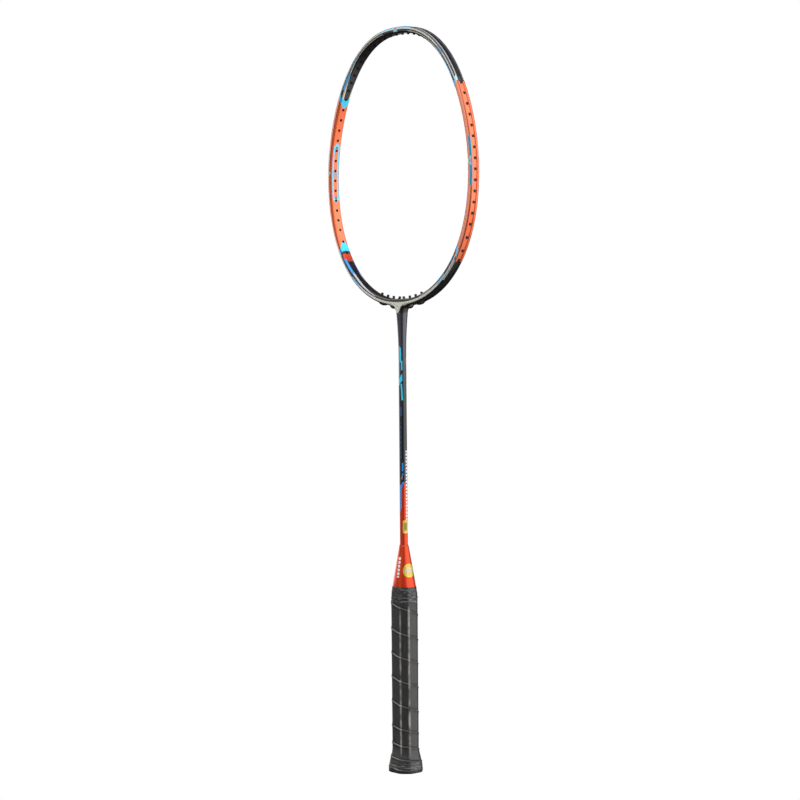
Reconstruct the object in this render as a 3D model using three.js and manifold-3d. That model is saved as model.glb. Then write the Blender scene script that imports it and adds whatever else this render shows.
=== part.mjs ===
// Badminton racket, unstrung: a hollow carbon head and shaft on a wooden handle.
// Millimetres. +Z runs from the butt end up the shaft, +X across the head, +Y out of the string
// plane. The origin is the centre of the butt cap's end face.
import * as THREE from "three";
import { mergeVertices } from "three/addons/utils/BufferGeometryUtils.js";
import Module from "manifold-3d";

// ---- driving dimensions ------------------------------------------------------------------------
const GAP = 0.3; // clearance between pieces that touch or are glued on the real racket

// Head outline, measured on its outer face
const HEAD_WIDTH = 199.4;
const HEAD_TOP_Z = 675;
const HEAD_WIDEST_Z = 543.5;
const HEAD_BOTTOM_Z = 424;
const UPPER_OUTLINE = { acrossPower: 0.85, upPower: 1.106 };
const LOWER_OUTLINE = { acrossPower: 0.93, upPower: 0.915 };

// Head tube section
const TUBE_THICKNESS = 6; // in the string plane
const TUBE_DEPTH = 9; // along Y
const TUBE_CORNER_RADIUS = 2.1;
const TUBE_WALL = 0.9;
const GROOVE_HALF_WIDTH = 1.7; // string groove round the outer face
const GROOVE_DEPTH = 0.9;
const GROOVE_SLOPE = 0.4;

// String holes and their grommets
const HOLE_RADIUS = 1.35;
const BARREL_RADIUS = 1.15;
const BARREL_BORE_RADIUS = 0.55;
const FLANGE_RADIUS = 1.4;
const FLANGE_THICKNESS = 0.4;
const STRIP_HALF_WIDTH = 1.3;
const STRIP_THICKNESS = 0.45;
const TOP_HOLES = { first: 4.2, pitch: 8.4, count: 12 }; // along the outline, each side of the top
const CROSS_HOLES = { topZ: 618.9, pitch: 9.6, count: 14 }; // cross-string heights, each side
const WIDE_HOLES = [12.4, 25.2]; // along the outline, two more single holes below the last of them
const LOWER_HOLES = { pitch: 11.2, count: 5 }; // along the outline, below the single holes
const THROAT_HOLES = [3.9, 11.9, 20.6, 29.7]; // along the outline, each side of the throat
const THROAT_CENTRE_TILT = -0.5; // radians, carries the middle pair past the throat stub
const TOP_CENTRE_BARRELS = 5; // barrels each side on the top grommet strip
const TIP_TOP = 1.0; // how far the barrels stand out inside the head
const TIP_SIDE = 0.5;
const TIP_THROAT = 2.8;

// Throat stub and the ears beside it that guide the string
const STUB_BOTTOM_Z = 417.5;
const STUB_RADIUS = 5.3;
const STUB_FILLET = 6;
const EARS = [
  { x: 10.4, length: 6.4, height: 2.9 },
  { x: 25.2, length: 8.4, height: 1.9 },
];

// Shaft
const SHAFT_RADIUS = 3.55;
const SHAFT_BORE_RADIUS = 2.6;
const SHAFT_BOTTOM_Z = 74;
const SHAFT_TOP_Z = STUB_BOTTOM_Z - GAP;
const SHAFT_FLARE_Z = 377.5;
const JOINT_STEM_BOTTOM_Z = 398;
const JOINT_ARM_HALF_SPAN = 15;

// Cone cap
const CONE_TOP_Z = 206.9;
const CONE_SHOULDER_Z = 169.3;
const CONE_BOTTOM_Z = 161.6;
const CONE_TOP_RADIUS = 4.05;
const CONE_BASE_RADIUS = 10.6;
const CONE_WALL = 1.5;
const SPIGOT_RADIUS = 7.9;
const SPIGOT_TOP_Z = 172.3;

// Handle, as half sizes of octagons across X and Y
const GRIP = { halfX: 12.1, halfY: 11.1 };
const CORNER_SHARE = 0.505; // where a bevel meets the front face, as a share of halfX
const CORE_SCALE = 0.885;
const CORE_FOOT_SCALE = 0.82;
const CONE_FLATS_SCALE = 0.872;
const WRAP_INNER_SCALE = 0.912;
const WRAP_TOP_Z = 159;
const WRAP_BOTTOM_Z = 2.6;
const TAPE_BOTTOM_Z = 159.3;
const TAPE_TOP_Z = 169.1;
const TAPE_BOTTOM_SCALE = 0.99;
const TAPE_TOP_SCALE = 0.91;
const TAPE_INNER_SCALE = 0.888;
const FLARE_SCALE = 1.27;
const FLARE_LOW_Z = 3;
const FLARE_HIGH_Z = 23;
const WRAP_SCALE_THICKNESS = 0.088;
const RIM_TOP_Z = 2.3;
const CUP_TOP_Z = 14;
const CUP_FLOOR_Z = 3.2;
const CUP_POCKET_SCALE = 0.85;

// Staples that hold the butt cap on the handle
const STAPLE_WIRE_RADIUS = 0.45;
const STAPLE_HALF_WIDTH = 4;
const STAPLE_LEG_LENGTH = 7;
const STAPLE_Z = 8;
const STAPLE_CROWN_Y = 11.4;

// Fineness
const HOOP_SEGMENTS = 64;
const ROUND_SEGMENTS = 20;
const HOLE_SIDES = 6;

// ---- solids ------------------------------------------------------------------------------------
const wasm = await Module();
wasm.setup();

// A closed three.js geometry as a manifold-3d solid.
function solid(geometry) {
  const bare = geometry.clone();
  bare.deleteAttribute("normal");
  bare.deleteAttribute("uv");
  const merged = mergeVertices(bare, 1e-4);
  return new wasm.Manifold(
    new wasm.Mesh({
      numProp: 3,
      vertProperties: merged.attributes.position.array,
      triVerts: new Uint32Array(merged.index.array),
    }),
  );
}

// A solid as a named three.js mesh.
function piece(name, body, material) {
  const { vertProperties, triVerts } = body.getMesh();
  const geometry = new THREE.BufferGeometry();
  geometry.setAttribute("position", new THREE.BufferAttribute(vertProperties, 3));
  geometry.setIndex(new THREE.BufferAttribute(triVerts, 1));
  geometry.computeVertexNormals();
  const mesh = new THREE.Mesh(geometry, material);
  mesh.name = name;
  return mesh;
}

// A body turned about Z from a profile of [radius, z] pairs that runs upward on its outside.
function turned(profile, segments = ROUND_SEGMENTS) {
  const points = profile.map(([radius, z]) => new THREE.Vector2(radius, z));
  return new THREE.LatheGeometry(points, segments).rotateX(Math.PI / 2);
}

// An outline in XY drawn through stations of { z, scale }, lowest first.
function loft(section, stations) {
  const last = stations.length - 1;
  const geometry = new THREE.ExtrudeGeometry(section, {
    depth: last,
    steps: last,
    bevelEnabled: false,
  });
  const position = geometry.attributes.position;
  for (let i = 0; i < position.count; i += 1) {
    const { z, scale } = stations[Math.round(position.getZ(i))];
    position.setXYZ(i, position.getX(i) * scale, position.getY(i) * scale, z);
  }
  return geometry;
}

// The grip's octagon: wide faces to the front and back, equal bevels at the corners.
function octagon() {
  const { halfX, halfY } = GRIP;
  const cornerX = halfX * CORNER_SHARE;
  const cornerY = halfY - (halfX - cornerX);
  const section = new THREE.Shape();
  section.moveTo(halfX, cornerY);
  section.lineTo(cornerX, halfY);
  section.lineTo(-cornerX, halfY);
  section.lineTo(-halfX, cornerY);
  section.lineTo(-halfX, -cornerY);
  section.lineTo(-cornerX, -halfY);
  section.lineTo(cornerX, -halfY);
  section.lineTo(halfX, -cornerY);
  section.closePath();
  return section;
}

const prism = (lowZ, highZ, scale) =>
  solid(
    loft(octagon(), [
      { z: lowZ, scale },
      { z: highZ, scale },
    ]),
  );

// ---- the head's outline ------------------------------------------------------------------------
const signedPower = (value, power) => Math.sign(value) * Math.abs(value) ** power;

// The outer outline, clockwise seen from the front, starting and ending at the top.
class HeadOutline extends THREE.Curve {
  getPoint(t, target = new THREE.Vector3()) {
    const angle = Math.PI / 2 - 2 * Math.PI * t;
    const across = Math.cos(angle);
    const up = Math.sin(angle);
    const powers = up >= 0 ? UPPER_OUTLINE : LOWER_OUTLINE;
    const height = up >= 0 ? HEAD_TOP_Z - HEAD_WIDEST_Z : HEAD_WIDEST_Z - HEAD_BOTTOM_Z;
    const x = (HEAD_WIDTH / 2) * signedPower(across, powers.acrossPower);
    return target.set(x, 0, HEAD_WIDEST_Z + height * signedPower(up, powers.upPower));
  }

  getTangent(t, target = new THREE.Vector3()) {
    const step = 1e-4;
    return target.copy(this.getPoint(t + step)).sub(this.getPoint(t - step)).normalize();
  }
}

const outline = new HeadOutline();
outline.arcLengthDivisions = 2000;
const HALF_LENGTH = outline.getLength() / 2;

// The place at a distance along the outline from the top, positive towards +X: a point on the
// outer face and the direction into the head.
function outlineFrame(distance) {
  const share = THREE.MathUtils.euclideanModulo(distance / (2 * HALF_LENGTH), 1);
  const tangent = outline.getTangentAt(share);
  return {
    point: outline.getPointAt(share),
    inward: new THREE.Vector3(-tangent.z, 0, tangent.x).negate(),
  };
}

// How far along the outline from the top the outer face comes down to a height.
function distanceAtHeight(z) {
  let low = 0;
  let high = HALF_LENGTH;
  while (high - low > 1e-4) {
    const middle = (low + high) / 2;
    if (outlineFrame(middle).point.z > z) low = middle;
    else high = middle;
  }
  return low;
}

// A closed ring round the head. Its section is a list of [out, y]: out is 0 on the outer face.
function ring(section) {
  const base = HEAD_WIDTH / 2;
  const points = [...section, section[0]].map(([out, y]) => new THREE.Vector2(base + out, y));
  const geometry = new THREE.LatheGeometry(points, HOOP_SEGMENTS);
  const position = geometry.attributes.position;
  for (let i = 0; i < position.count; i += 1) {
    const turn = Math.floor(i / points.length) % HOOP_SEGMENTS;
    const { x: radius, y } = points[i % points.length];
    const { point, inward } = outlineFrame((turn / HOOP_SEGMENTS) * 2 * HALF_LENGTH);
    point.addScaledVector(inward, base - radius);
    position.setXYZ(i, point.x, y, point.z);
  }
  return solid(geometry);
}

// A rod along a hole's axis, from one depth to another; depth 0 is the outer face.
function rod(hole, radius, fromDepth, toDepth) {
  const geometry = new THREE.CylinderGeometry(radius, radius, toDepth - fromDepth, HOLE_SIDES);
  const turnToAxis = new THREE.Quaternion().setFromUnitVectors(
    new THREE.Vector3(0, 1, 0),
    hole.axis,
  );
  geometry.applyQuaternion(turnToAxis);
  const centre = hole.point.clone().addScaledVector(hole.axis, (fromDepth + toDepth) / 2);
  return solid(geometry.translate(centre.x, centre.y, centre.z));
}

// ---- where the string holes are ----------------------------------------------------------------
// Every hole is { distance, side, point, axis, tip }: the axis points into the head, and the tip
// is how far its barrel stands out there.
function hole(distance, side, tip, tilt = 0) {
  const { point, inward } = outlineFrame(side * distance);
  const axis = inward.clone().applyAxisAngle(new THREE.Vector3(0, 1, 0), side * tilt);
  // A tilted hole keeps its place on the inner face.
  const innerPoint = point.clone().addScaledVector(inward, TUBE_THICKNESS);
  const start = innerPoint.addScaledVector(axis, -TUBE_THICKNESS);
  return { distance, side, point: start, axis, tip };
}

const run = (count, place) => Array.from({ length: count }, (_, i) => place(i));

function holesOnSide(side) {
  const lastCrossZ = CROSS_HOLES.topZ - CROSS_HOLES.pitch * (CROSS_HOLES.count - 1);
  const lastCross = distanceAtHeight(lastCrossZ);
  return {
    top: run(TOP_HOLES.count, (i) =>
      hole(TOP_HOLES.first + TOP_HOLES.pitch * i, side, TIP_TOP),
    ),
    cross: [
      ...run(CROSS_HOLES.count, (i) =>
        hole(distanceAtHeight(CROSS_HOLES.topZ - CROSS_HOLES.pitch * i), side, TIP_SIDE),
      ),
      ...WIDE_HOLES.map((step) => hole(lastCross + step, side, TIP_SIDE)),
    ],
    lower: run(LOWER_HOLES.count, (i) =>
      hole(lastCross + WIDE_HOLES.at(-1) + LOWER_HOLES.pitch * (i + 1), side, TIP_SIDE),
    ),
    throat: THROAT_HOLES.map((fromThroat, i) =>
      hole(HALF_LENGTH - fromThroat, side, TIP_THROAT, i === 0 ? THROAT_CENTRE_TILT : 0),
    ),
  };
}

const RIGHT = holesOnSide(1);
const LEFT = holesOnSide(-1);
const ALL_HOLES = [RIGHT, LEFT].flatMap((side) => Object.values(side).flat());

// ---- head pieces -------------------------------------------------------------------------------
// The tube's outside: a rounded box with the string groove in its outer face.
function tubeSection() {
  const half = TUBE_DEPTH / 2;
  const r = TUBE_CORNER_RADIUS;
  const corner = (out, y, from) =>
    new THREE.EllipseCurve(out, y, r, r, from, from + Math.PI / 2)
      .getPoints(2)
      .map((p) => [p.x, p.y]);
  return [
    [0, -GROOVE_HALF_WIDTH - GROOVE_SLOPE],
    [-GROOVE_DEPTH, -GROOVE_HALF_WIDTH],
    [-GROOVE_DEPTH, GROOVE_HALF_WIDTH],
    [0, GROOVE_HALF_WIDTH + GROOVE_SLOPE],
    ...corner(-r, half - r, 0),
    ...corner(r - TUBE_THICKNESS, half - r, Math.PI / 2),
    ...corner(r - TUBE_THICKNESS, r - half, Math.PI),
    ...corner(-r, r - half, 1.5 * Math.PI),
  ];
}

// The tube's inside, shrunk by a margin: a box with cut corners that leaves an even wall.
function cavitySection(margin = 0) {
  const half = TUBE_DEPTH / 2 - TUBE_WALL - margin;
  const outer = -GROOVE_DEPTH - TUBE_WALL - margin;
  const inner = -TUBE_THICKNESS + TUBE_WALL + margin;
  const cut = 1;
  return [
    [outer, cut - half],
    [outer, half - cut],
    [outer - cut, half],
    [inner + cut, half],
    [inner, half - cut],
    [inner, cut - half],
    [inner + cut, -half],
    [outer - cut, -half],
  ];
}

// The moulded stub below the head, which spreads into the tube with a fillet on each side.
function throatStub() {
  const tubeMiddleZ = HEAD_BOTTOM_Z + TUBE_THICKNESS / 2;
  const filletBottomZ = HEAD_BOTTOM_Z + 0.5 - STUB_FILLET;
  const fillet = run(5, (i) => {
    const angle = (i / 4) * (Math.PI / 2);
    const radius = STUB_RADIUS + STUB_FILLET * (1 - Math.cos(angle));
    return [radius, filletBottomZ + STUB_FILLET * Math.sin(angle)];
  });
  const geometry = turned([
    [0, STUB_BOTTOM_Z],
    [STUB_RADIUS, STUB_BOTTOM_Z],
    ...fillet,
    [STUB_RADIUS + STUB_FILLET, tubeMiddleZ],
    [0, tubeMiddleZ],
  ]);
  // The spread stays within the tube's depth, so only its width across the head grows.
  const position = geometry.attributes.position;
  for (let i = 0; i < position.count; i += 1) {
    const rise = THREE.MathUtils.smoothstep(position.getZ(i), STUB_BOTTOM_Z, HEAD_BOTTOM_Z + 1);
    const radius = Math.hypot(position.getX(i), position.getY(i)) || 1;
    const depth = THREE.MathUtils.lerp(STUB_RADIUS, TUBE_DEPTH / 2 - 0.1, rise);
    position.setY(i, (position.getY(i) / radius) * Math.min(radius, depth));
  }
  return solid(geometry);
}

// A low rounded ear on the outer face, where the string turns from one hole to the next.
function ear({ x, length, height }, side) {
  const distance = HALF_LENGTH - x;
  const { point, inward } = outlineFrame(side * distance);
  const geometry = new THREE.SphereGeometry(1, 8, 6).scale(length / 2, TUBE_DEPTH / 2 - 1, height);
  geometry.rotateY(Math.atan2(inward.x, inward.z));
  return solid(geometry.translate(point.x, point.y, point.z));
}

const cavity = ring(cavitySection());
const stubBore = solid(
  turned([
    [0, STUB_BOTTOM_Z - 1],
    [SHAFT_BORE_RADIUS, STUB_BOTTOM_Z - 1],
    [SHAFT_BORE_RADIUS, HEAD_BOTTOM_Z + TUBE_THICKNESS / 2],
    [0, HEAD_BOTTOM_Z + TUBE_THICKNESS / 2],
  ]),
);

function headFrame() {
  let body = ring(tubeSection()).add(throatStub());
  for (const side of [1, -1]) {
    for (const shape of EARS) body = body.add(ear(shape, side));
  }
  body = body.subtract(cavity).subtract(stubBore);
  const outside = 8; // drills start clear of the ears and of the stub's fillet
  for (const place of ALL_HOLES) {
    body = body.subtract(rod(place, HOLE_RADIUS, -outside, TUBE_THICKNESS + 1));
  }
  return body;
}

// The joint inside the throat: a stem in the shaft's bore, and two arms along the head tube.
function throatJoint() {
  const arms = ring(cavitySection(GAP)).intersect(
    solid(
      new THREE.BoxGeometry(2 * JOINT_ARM_HALF_SPAN, TUBE_DEPTH, 40).translate(
        0,
        0,
        HEAD_BOTTOM_Z + 10,
      ),
    ),
  );
  const stem = solid(
    turned([
      [0, JOINT_STEM_BOTTOM_Z],
      [SHAFT_BORE_RADIUS - GAP, JOINT_STEM_BOTTOM_Z],
      [SHAFT_BORE_RADIUS - GAP, HEAD_BOTTOM_Z + TUBE_THICKNESS / 2],
      [0, HEAD_BOTTOM_Z + TUBE_THICKNESS / 2],
    ]),
  );
  let body = arms.add(stem);
  for (const place of [...RIGHT.throat, ...LEFT.throat]) {
    if (HALF_LENGTH - place.distance > JOINT_ARM_HALF_SPAN) continue;
    body = body.subtract(rod(place, HOLE_RADIUS, -1, TUBE_THICKNESS));
  }
  return body;
}

// A single grommet: a barrel with a round flange that sits in the string groove. In the throat
// the barrel is plain, and its outer end lies within the hole.
function grommet(place, flanged = true) {
  const depth = GROOVE_DEPTH - FLANGE_THICKNESS - GAP / 2;
  const length = TUBE_THICKNESS + place.tip - depth;
  const flange = [
    [FLANGE_RADIUS, 0],
    [FLANGE_RADIUS, FLANGE_THICKNESS],
    [BARREL_RADIUS, FLANGE_THICKNESS],
  ];
  const profile = [
    [BARREL_BORE_RADIUS, 0],
    ...(flanged ? flange : [[BARREL_RADIUS, 0]]),
    [BARREL_RADIUS, length],
    [BARREL_BORE_RADIUS, length],
    [BARREL_BORE_RADIUS, 0],
  ];
  const geometry = turned(profile, HOLE_SIDES);
  const turnToAxis = new THREE.Quaternion().setFromUnitVectors(
    new THREE.Vector3(0, 0, 1),
    place.axis,
  );
  geometry.applyQuaternion(turnToAxis);
  const start = place.point.clone().addScaledVector(place.axis, depth);
  return solid(geometry.translate(start.x, start.y, start.z));
}

// A stretch of the head's outline, from one distance to another.
class OutlineStretch extends THREE.Curve {
  constructor(from, to) {
    super();
    this.from = from;
    this.to = to;
  }

  getPoint(t, target = new THREE.Vector3()) {
    return target.copy(outlineFrame(THREE.MathUtils.lerp(this.from, this.to, t)).point);
  }
}

// A strip in the groove that joins the barrels of neighbouring holes into one piece.
function grommetStrip(places) {
  const along = places.map((place) => place.side * place.distance);
  const from = Math.min(...along) - 2.5;
  const to = Math.max(...along) + 2.5;
  const section = new THREE.Shape();
  const low = GROOVE_DEPTH - GAP / 2 - STRIP_THICKNESS;
  section.moveTo(-STRIP_HALF_WIDTH, low);
  section.lineTo(STRIP_HALF_WIDTH, low);
  section.lineTo(STRIP_HALF_WIDTH, low + STRIP_THICKNESS);
  section.lineTo(-STRIP_HALF_WIDTH, low + STRIP_THICKNESS);
  section.closePath();
  let body = solid(
    new THREE.ExtrudeGeometry(section, {
      steps: 2 * places.length,
      bevelEnabled: false,
      extrudePath: new OutlineStretch(from, to),
    }),
  );
  for (const place of places) {
    body = body.add(rod(place, BARREL_RADIUS, low + 0.1, TUBE_THICKNESS + place.tip));
  }
  for (const place of places) {
    body = body.subtract(rod(place, BARREL_BORE_RADIUS, low - 1, TUBE_THICKNESS + place.tip + 1));
  }
  return body;
}

// ---- shaft and handle pieces -------------------------------------------------------------------
// The shaft is straight, and widens in a parabola to meet the throat stub.
function shaft() {
  const flareSteps = 6;
  const flare = run(flareSteps + 1, (i) => {
    const share = i / flareSteps;
    const z = THREE.MathUtils.lerp(SHAFT_FLARE_Z, SHAFT_TOP_Z, share);
    return [SHAFT_RADIUS + (STUB_RADIUS - SHAFT_RADIUS) * share ** 2, z];
  });
  return solid(
    turned([
      [SHAFT_BORE_RADIUS, SHAFT_BOTTOM_Z],
      [SHAFT_RADIUS, SHAFT_BOTTOM_Z],
      ...flare,
      [SHAFT_BORE_RADIUS, SHAFT_TOP_Z],
      [SHAFT_BORE_RADIUS, SHAFT_BOTTOM_Z],
    ]),
  );
}

// The cone is round at the shaft, and flats cut its base to the handle's octagon.
function coneCap() {
  const shaftHole = SHAFT_RADIUS + GAP;
  const socket = SPIGOT_RADIUS + GAP;
  const socketTopZ = SPIGOT_TOP_Z + GAP;
  const throatZ = CONE_TOP_Z - 6;
  return solid(
    turned([
      [socket, CONE_BOTTOM_Z],
      [CONE_BASE_RADIUS, CONE_BOTTOM_Z],
      [CONE_BASE_RADIUS, CONE_SHOULDER_Z],
      [CONE_TOP_RADIUS + 0.3, CONE_TOP_Z - 1],
      [CONE_TOP_RADIUS, CONE_TOP_Z],
      [shaftHole, CONE_TOP_Z],
      [shaftHole, throatZ],
      [socket - CONE_WALL, socketTopZ],
      [socket, socketTopZ],
      [socket, CONE_BOTTOM_Z],
    ]),
  ).intersect(prism(CONE_BOTTOM_Z - 1, CONE_TOP_Z + 1, CONE_FLATS_SCALE));
}

const shaftSocket = solid(
  turned([
    [0, SHAFT_BOTTOM_Z - GAP],
    [SHAFT_RADIUS + GAP, SHAFT_BOTTOM_Z - GAP],
    [SHAFT_RADIUS + GAP, SPIGOT_TOP_Z + 1],
    [0, SPIGOT_TOP_Z + 1],
  ]),
);

// The wooden core: octagonal, with a foot in the butt cap, a spigot in the cone and a blind bore.
function handleCore() {
  const footBottomZ = CUP_FLOOR_Z + GAP;
  const shoulderZ = CUP_TOP_Z + GAP;
  const topZ = CONE_BOTTOM_Z - GAP;
  const body = solid(
    loft(octagon(), [
      { z: footBottomZ, scale: CORE_FOOT_SCALE },
      { z: shoulderZ, scale: CORE_FOOT_SCALE },
      { z: shoulderZ, scale: CORE_SCALE },
      { z: topZ, scale: CORE_SCALE },
    ]),
  );
  const spigot = solid(
    turned([
      [0, topZ - 1],
      [SPIGOT_RADIUS, topZ - 1],
      [SPIGOT_RADIUS, SPIGOT_TOP_Z],
      [0, SPIGOT_TOP_Z],
    ]),
  );
  return body.add(spigot).subtract(shaftSocket).subtract(staple(1, GAP)).subtract(staple(-1, GAP));
}

// The size of the finished grip at a height, as a scale of its octagon: the butt end flares.
function gripScale(z) {
  const share = THREE.MathUtils.clamp((FLARE_HIGH_Z - z) / (FLARE_HIGH_Z - FLARE_LOW_Z), 0, 1);
  return 1 + ((FLARE_SCALE - 1) * (1 - Math.cos(Math.PI * share))) / 2;
}

const flareStations = (lowZ, highZ, count, inset) =>
  run(count, (i) => {
    const z = THREE.MathUtils.lerp(lowZ, highZ, i / (count - 1));
    return { z, scale: gripScale(z) - inset };
  });

// The moulded cap on the butt end: a rim that shows, and a cup under the grip wrap.
function buttCap() {
  const chamfer = 0.7;
  const underWrap = WRAP_SCALE_THICKNESS + 0.03;
  const outside = solid(
    loft(octagon(), [
      { z: 0, scale: FLARE_SCALE - 0.06 },
      { z: chamfer, scale: FLARE_SCALE },
      { z: RIM_TOP_Z, scale: FLARE_SCALE },
      ...flareStations(RIM_TOP_Z, CUP_TOP_Z, 6, underWrap),
    ]),
  );
  const pocket = prism(CUP_FLOOR_Z, CUP_TOP_Z + 1, CUP_POCKET_SCALE);
  return outside.subtract(pocket).subtract(staple(1, GAP)).subtract(staple(-1, GAP));
}

// A wire staple driven through the cap's wall into the wood, on the front or the back.
function staple(side, margin = 0) {
  const inner = STAPLE_CROWN_Y - STAPLE_LEG_LENGTH - margin;
  const path = new THREE.CurvePath();
  const corners = [
    [-STAPLE_HALF_WIDTH, inner],
    [-STAPLE_HALF_WIDTH, STAPLE_CROWN_Y],
    [STAPLE_HALF_WIDTH, STAPLE_CROWN_Y],
    [STAPLE_HALF_WIDTH, inner],
  ].map(([x, y]) => new THREE.Vector3(x, side * y, STAPLE_Z));
  corners.slice(1).forEach((corner, i) => path.add(new THREE.LineCurve3(corners[i], corner)));
  let body = null;
  for (const line of path.curves) {
    const radius = STAPLE_WIRE_RADIUS + margin;
    const length = line.getLength() + 2 * (line === path.curves[1] ? radius : 0);
    const bar = new THREE.BoxGeometry(2 * radius, length, 2 * radius);
    const along = line.v2.clone().sub(line.v1).normalize();
    bar.applyQuaternion(
      new THREE.Quaternion().setFromUnitVectors(new THREE.Vector3(0, 1, 0), along),
    );
    const middle = line.getPoint(0.5);
    const next = solid(bar.translate(middle.x, middle.y, middle.z));
    body = body ? body.add(next) : next;
  }
  return body;
}

// The cushioned wrap as one sleeve: octagonal along the handle, flared over the butt cap.
function gripWrap() {
  const outside = solid(
    loft(octagon(), [
      ...flareStations(WRAP_BOTTOM_Z, FLARE_HIGH_Z, 8, 0),
      { z: WRAP_TOP_Z, scale: 1 },
    ]),
  );
  const inside = solid(
    loft(octagon(), [
      { z: WRAP_BOTTOM_Z - 0.1, scale: gripScale(WRAP_BOTTOM_Z) - WRAP_SCALE_THICKNESS },
      ...flareStations(WRAP_BOTTOM_Z, FLARE_HIGH_Z, 8, WRAP_SCALE_THICKNESS),
      { z: WRAP_TOP_Z + 1, scale: WRAP_INNER_SCALE },
    ]),
  );
  return outside.subtract(inside);
}

// The finishing tape that covers the wrap's end and the foot of the cone.
function finishingTape() {
  const outside = solid(
    loft(octagon(), [
      { z: TAPE_BOTTOM_Z, scale: TAPE_BOTTOM_SCALE },
      { z: TAPE_TOP_Z, scale: TAPE_TOP_SCALE },
    ]),
  );
  return outside.subtract(prism(TAPE_BOTTOM_Z - 1, TAPE_TOP_Z + 1, TAPE_INNER_SCALE));
}

// ---- materials ---------------------------------------------------------------------------------
const finish = (color, roughness, metalness) =>
  new THREE.MeshStandardMaterial({ color, roughness, metalness });

const framePaint = finish(0xc23a12, 0.25, 0.4);
const shaftPaint = finish(0x1b1b20, 0.25, 0.3);
const conePaint = finish(0xb8360f, 0.3, 0.4);
const blackNylon = finish(0x101113, 0.55, 0);
const jointResin = finish(0x2c2c2e, 0.6, 0);
const paleWood = finish(0xc9a36a, 0.7, 0);
const capPlastic = finish(0x151515, 0.5, 0);
const wrapFoam = finish(0x1c1c1e, 0.6, 0);
const tapeVinyl = finish(0x121214, 0.3, 0);
const stapleSteel = finish(0x9a9a9a, 0.35, 1);

// ---- assembly ----------------------------------------------------------------------------------
const racket = new THREE.Group();

const head = new THREE.Group();
head.add(piece("head_frame", headFrame(), framePaint));
head.add(piece("throat_joint", throatJoint(), jointResin));

const topStripHoles = [RIGHT, LEFT].flatMap((side) => side.top.slice(0, TOP_CENTRE_BARRELS));
head.add(piece("top_grommet_strip", grommetStrip(topStripHoles), blackNylon));
for (const [label, side] of Object.entries({ right: RIGHT, left: LEFT })) {
  const strips = {
    shoulder: side.top.slice(TOP_CENTRE_BARRELS),
    lower: side.lower,
  };
  for (const [place, holes] of Object.entries(strips)) {
    head.add(piece(`${place}_grommet_strip_${label}`, grommetStrip(holes), blackNylon));
  }
  side.cross.forEach((place, i) => {
    const number = String(i + 1).padStart(2, "0");
    head.add(piece(`grommet_${label}_${number}`, grommet(place), blackNylon));
  });
  side.throat.forEach((place, i) => {
    head.add(piece(`throat_grommet_${label}_${i + 1}`, grommet(place, false), blackNylon));
  });
}
racket.add(head);

racket.add(piece("shaft", shaft(), shaftPaint));

const handle = new THREE.Group();
handle.add(piece("cone_cap", coneCap(), conePaint));
handle.add(piece("handle_core", handleCore(), paleWood));
handle.add(piece("butt_cap", buttCap(), capPlastic));
handle.add(piece("butt_staple_back", staple(1), stapleSteel));
handle.add(piece("butt_staple_front", staple(-1), stapleSteel));
handle.add(piece("grip_wrap", gripWrap(), wrapFoam));
handle.add(piece("finishing_tape", finishingTape(), tapeVinyl));
racket.add(handle);

export default racket;
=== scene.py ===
import math

import bmesh
import bpy
import numpy as np
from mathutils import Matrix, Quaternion, Vector
from mathutils.kdtree import KDTree


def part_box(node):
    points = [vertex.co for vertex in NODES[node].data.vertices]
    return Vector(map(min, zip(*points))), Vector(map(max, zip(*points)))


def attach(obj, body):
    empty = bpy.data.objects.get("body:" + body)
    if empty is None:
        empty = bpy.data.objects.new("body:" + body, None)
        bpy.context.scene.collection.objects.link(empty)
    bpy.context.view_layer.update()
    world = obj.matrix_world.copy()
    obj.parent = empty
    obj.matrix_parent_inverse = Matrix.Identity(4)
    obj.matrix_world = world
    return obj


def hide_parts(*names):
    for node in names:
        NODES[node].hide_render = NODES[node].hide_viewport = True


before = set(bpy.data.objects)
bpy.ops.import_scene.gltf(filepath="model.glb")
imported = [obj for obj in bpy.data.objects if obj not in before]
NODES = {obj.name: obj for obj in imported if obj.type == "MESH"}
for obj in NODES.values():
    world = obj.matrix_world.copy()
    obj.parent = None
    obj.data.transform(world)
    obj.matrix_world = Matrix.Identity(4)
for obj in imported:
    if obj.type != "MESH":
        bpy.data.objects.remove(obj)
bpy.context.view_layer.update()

# Badminton racket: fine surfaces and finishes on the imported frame. Lengths are millimetres
# until a mesh is made. "Azimuth" is measured round +Z from the front (-Y) towards +X.
MM = 0.001


def box_mm(node):
    low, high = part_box(node)
    return np.array(low) / MM, np.array(high) / MM


HEAD_LOW, HEAD_HIGH = box_mm("head_frame")
SHAFT_LOW, SHAFT_HIGH = box_mm("shaft")
CONE_LOW, CONE_HIGH = box_mm("cone_cap")
WRAP_LOW, WRAP_HIGH = box_mm("grip_wrap")
TAPE_LOW, TAPE_HIGH = box_mm("finishing_tape")

# Head outline and tube
HEAD_WIDTH = HEAD_HIGH[0] - HEAD_LOW[0]
HEAD_TOP_Z = HEAD_HIGH[2]
HEAD_WIDEST_Z = 543.5
HEAD_BOTTOM_Z = 424.0
UPPER_POWERS = (0.85, 1.106)
LOWER_POWERS = (0.93, 0.915)
TUBE_THICKNESS = 6.0
TUBE_HALF_DEPTH = HEAD_HIGH[1]
TUBE_CORNER = 2.3
TUBE_WALL = 0.9
CAVITY_CORNER = 1.2
GROOVE_HALF_WIDTH = 1.7
GROOVE_DEPTH = 0.9
GROOVE_SLOPE = 0.4
HOOP_STEP = 1.0  # between the sections of the swept tube

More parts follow.
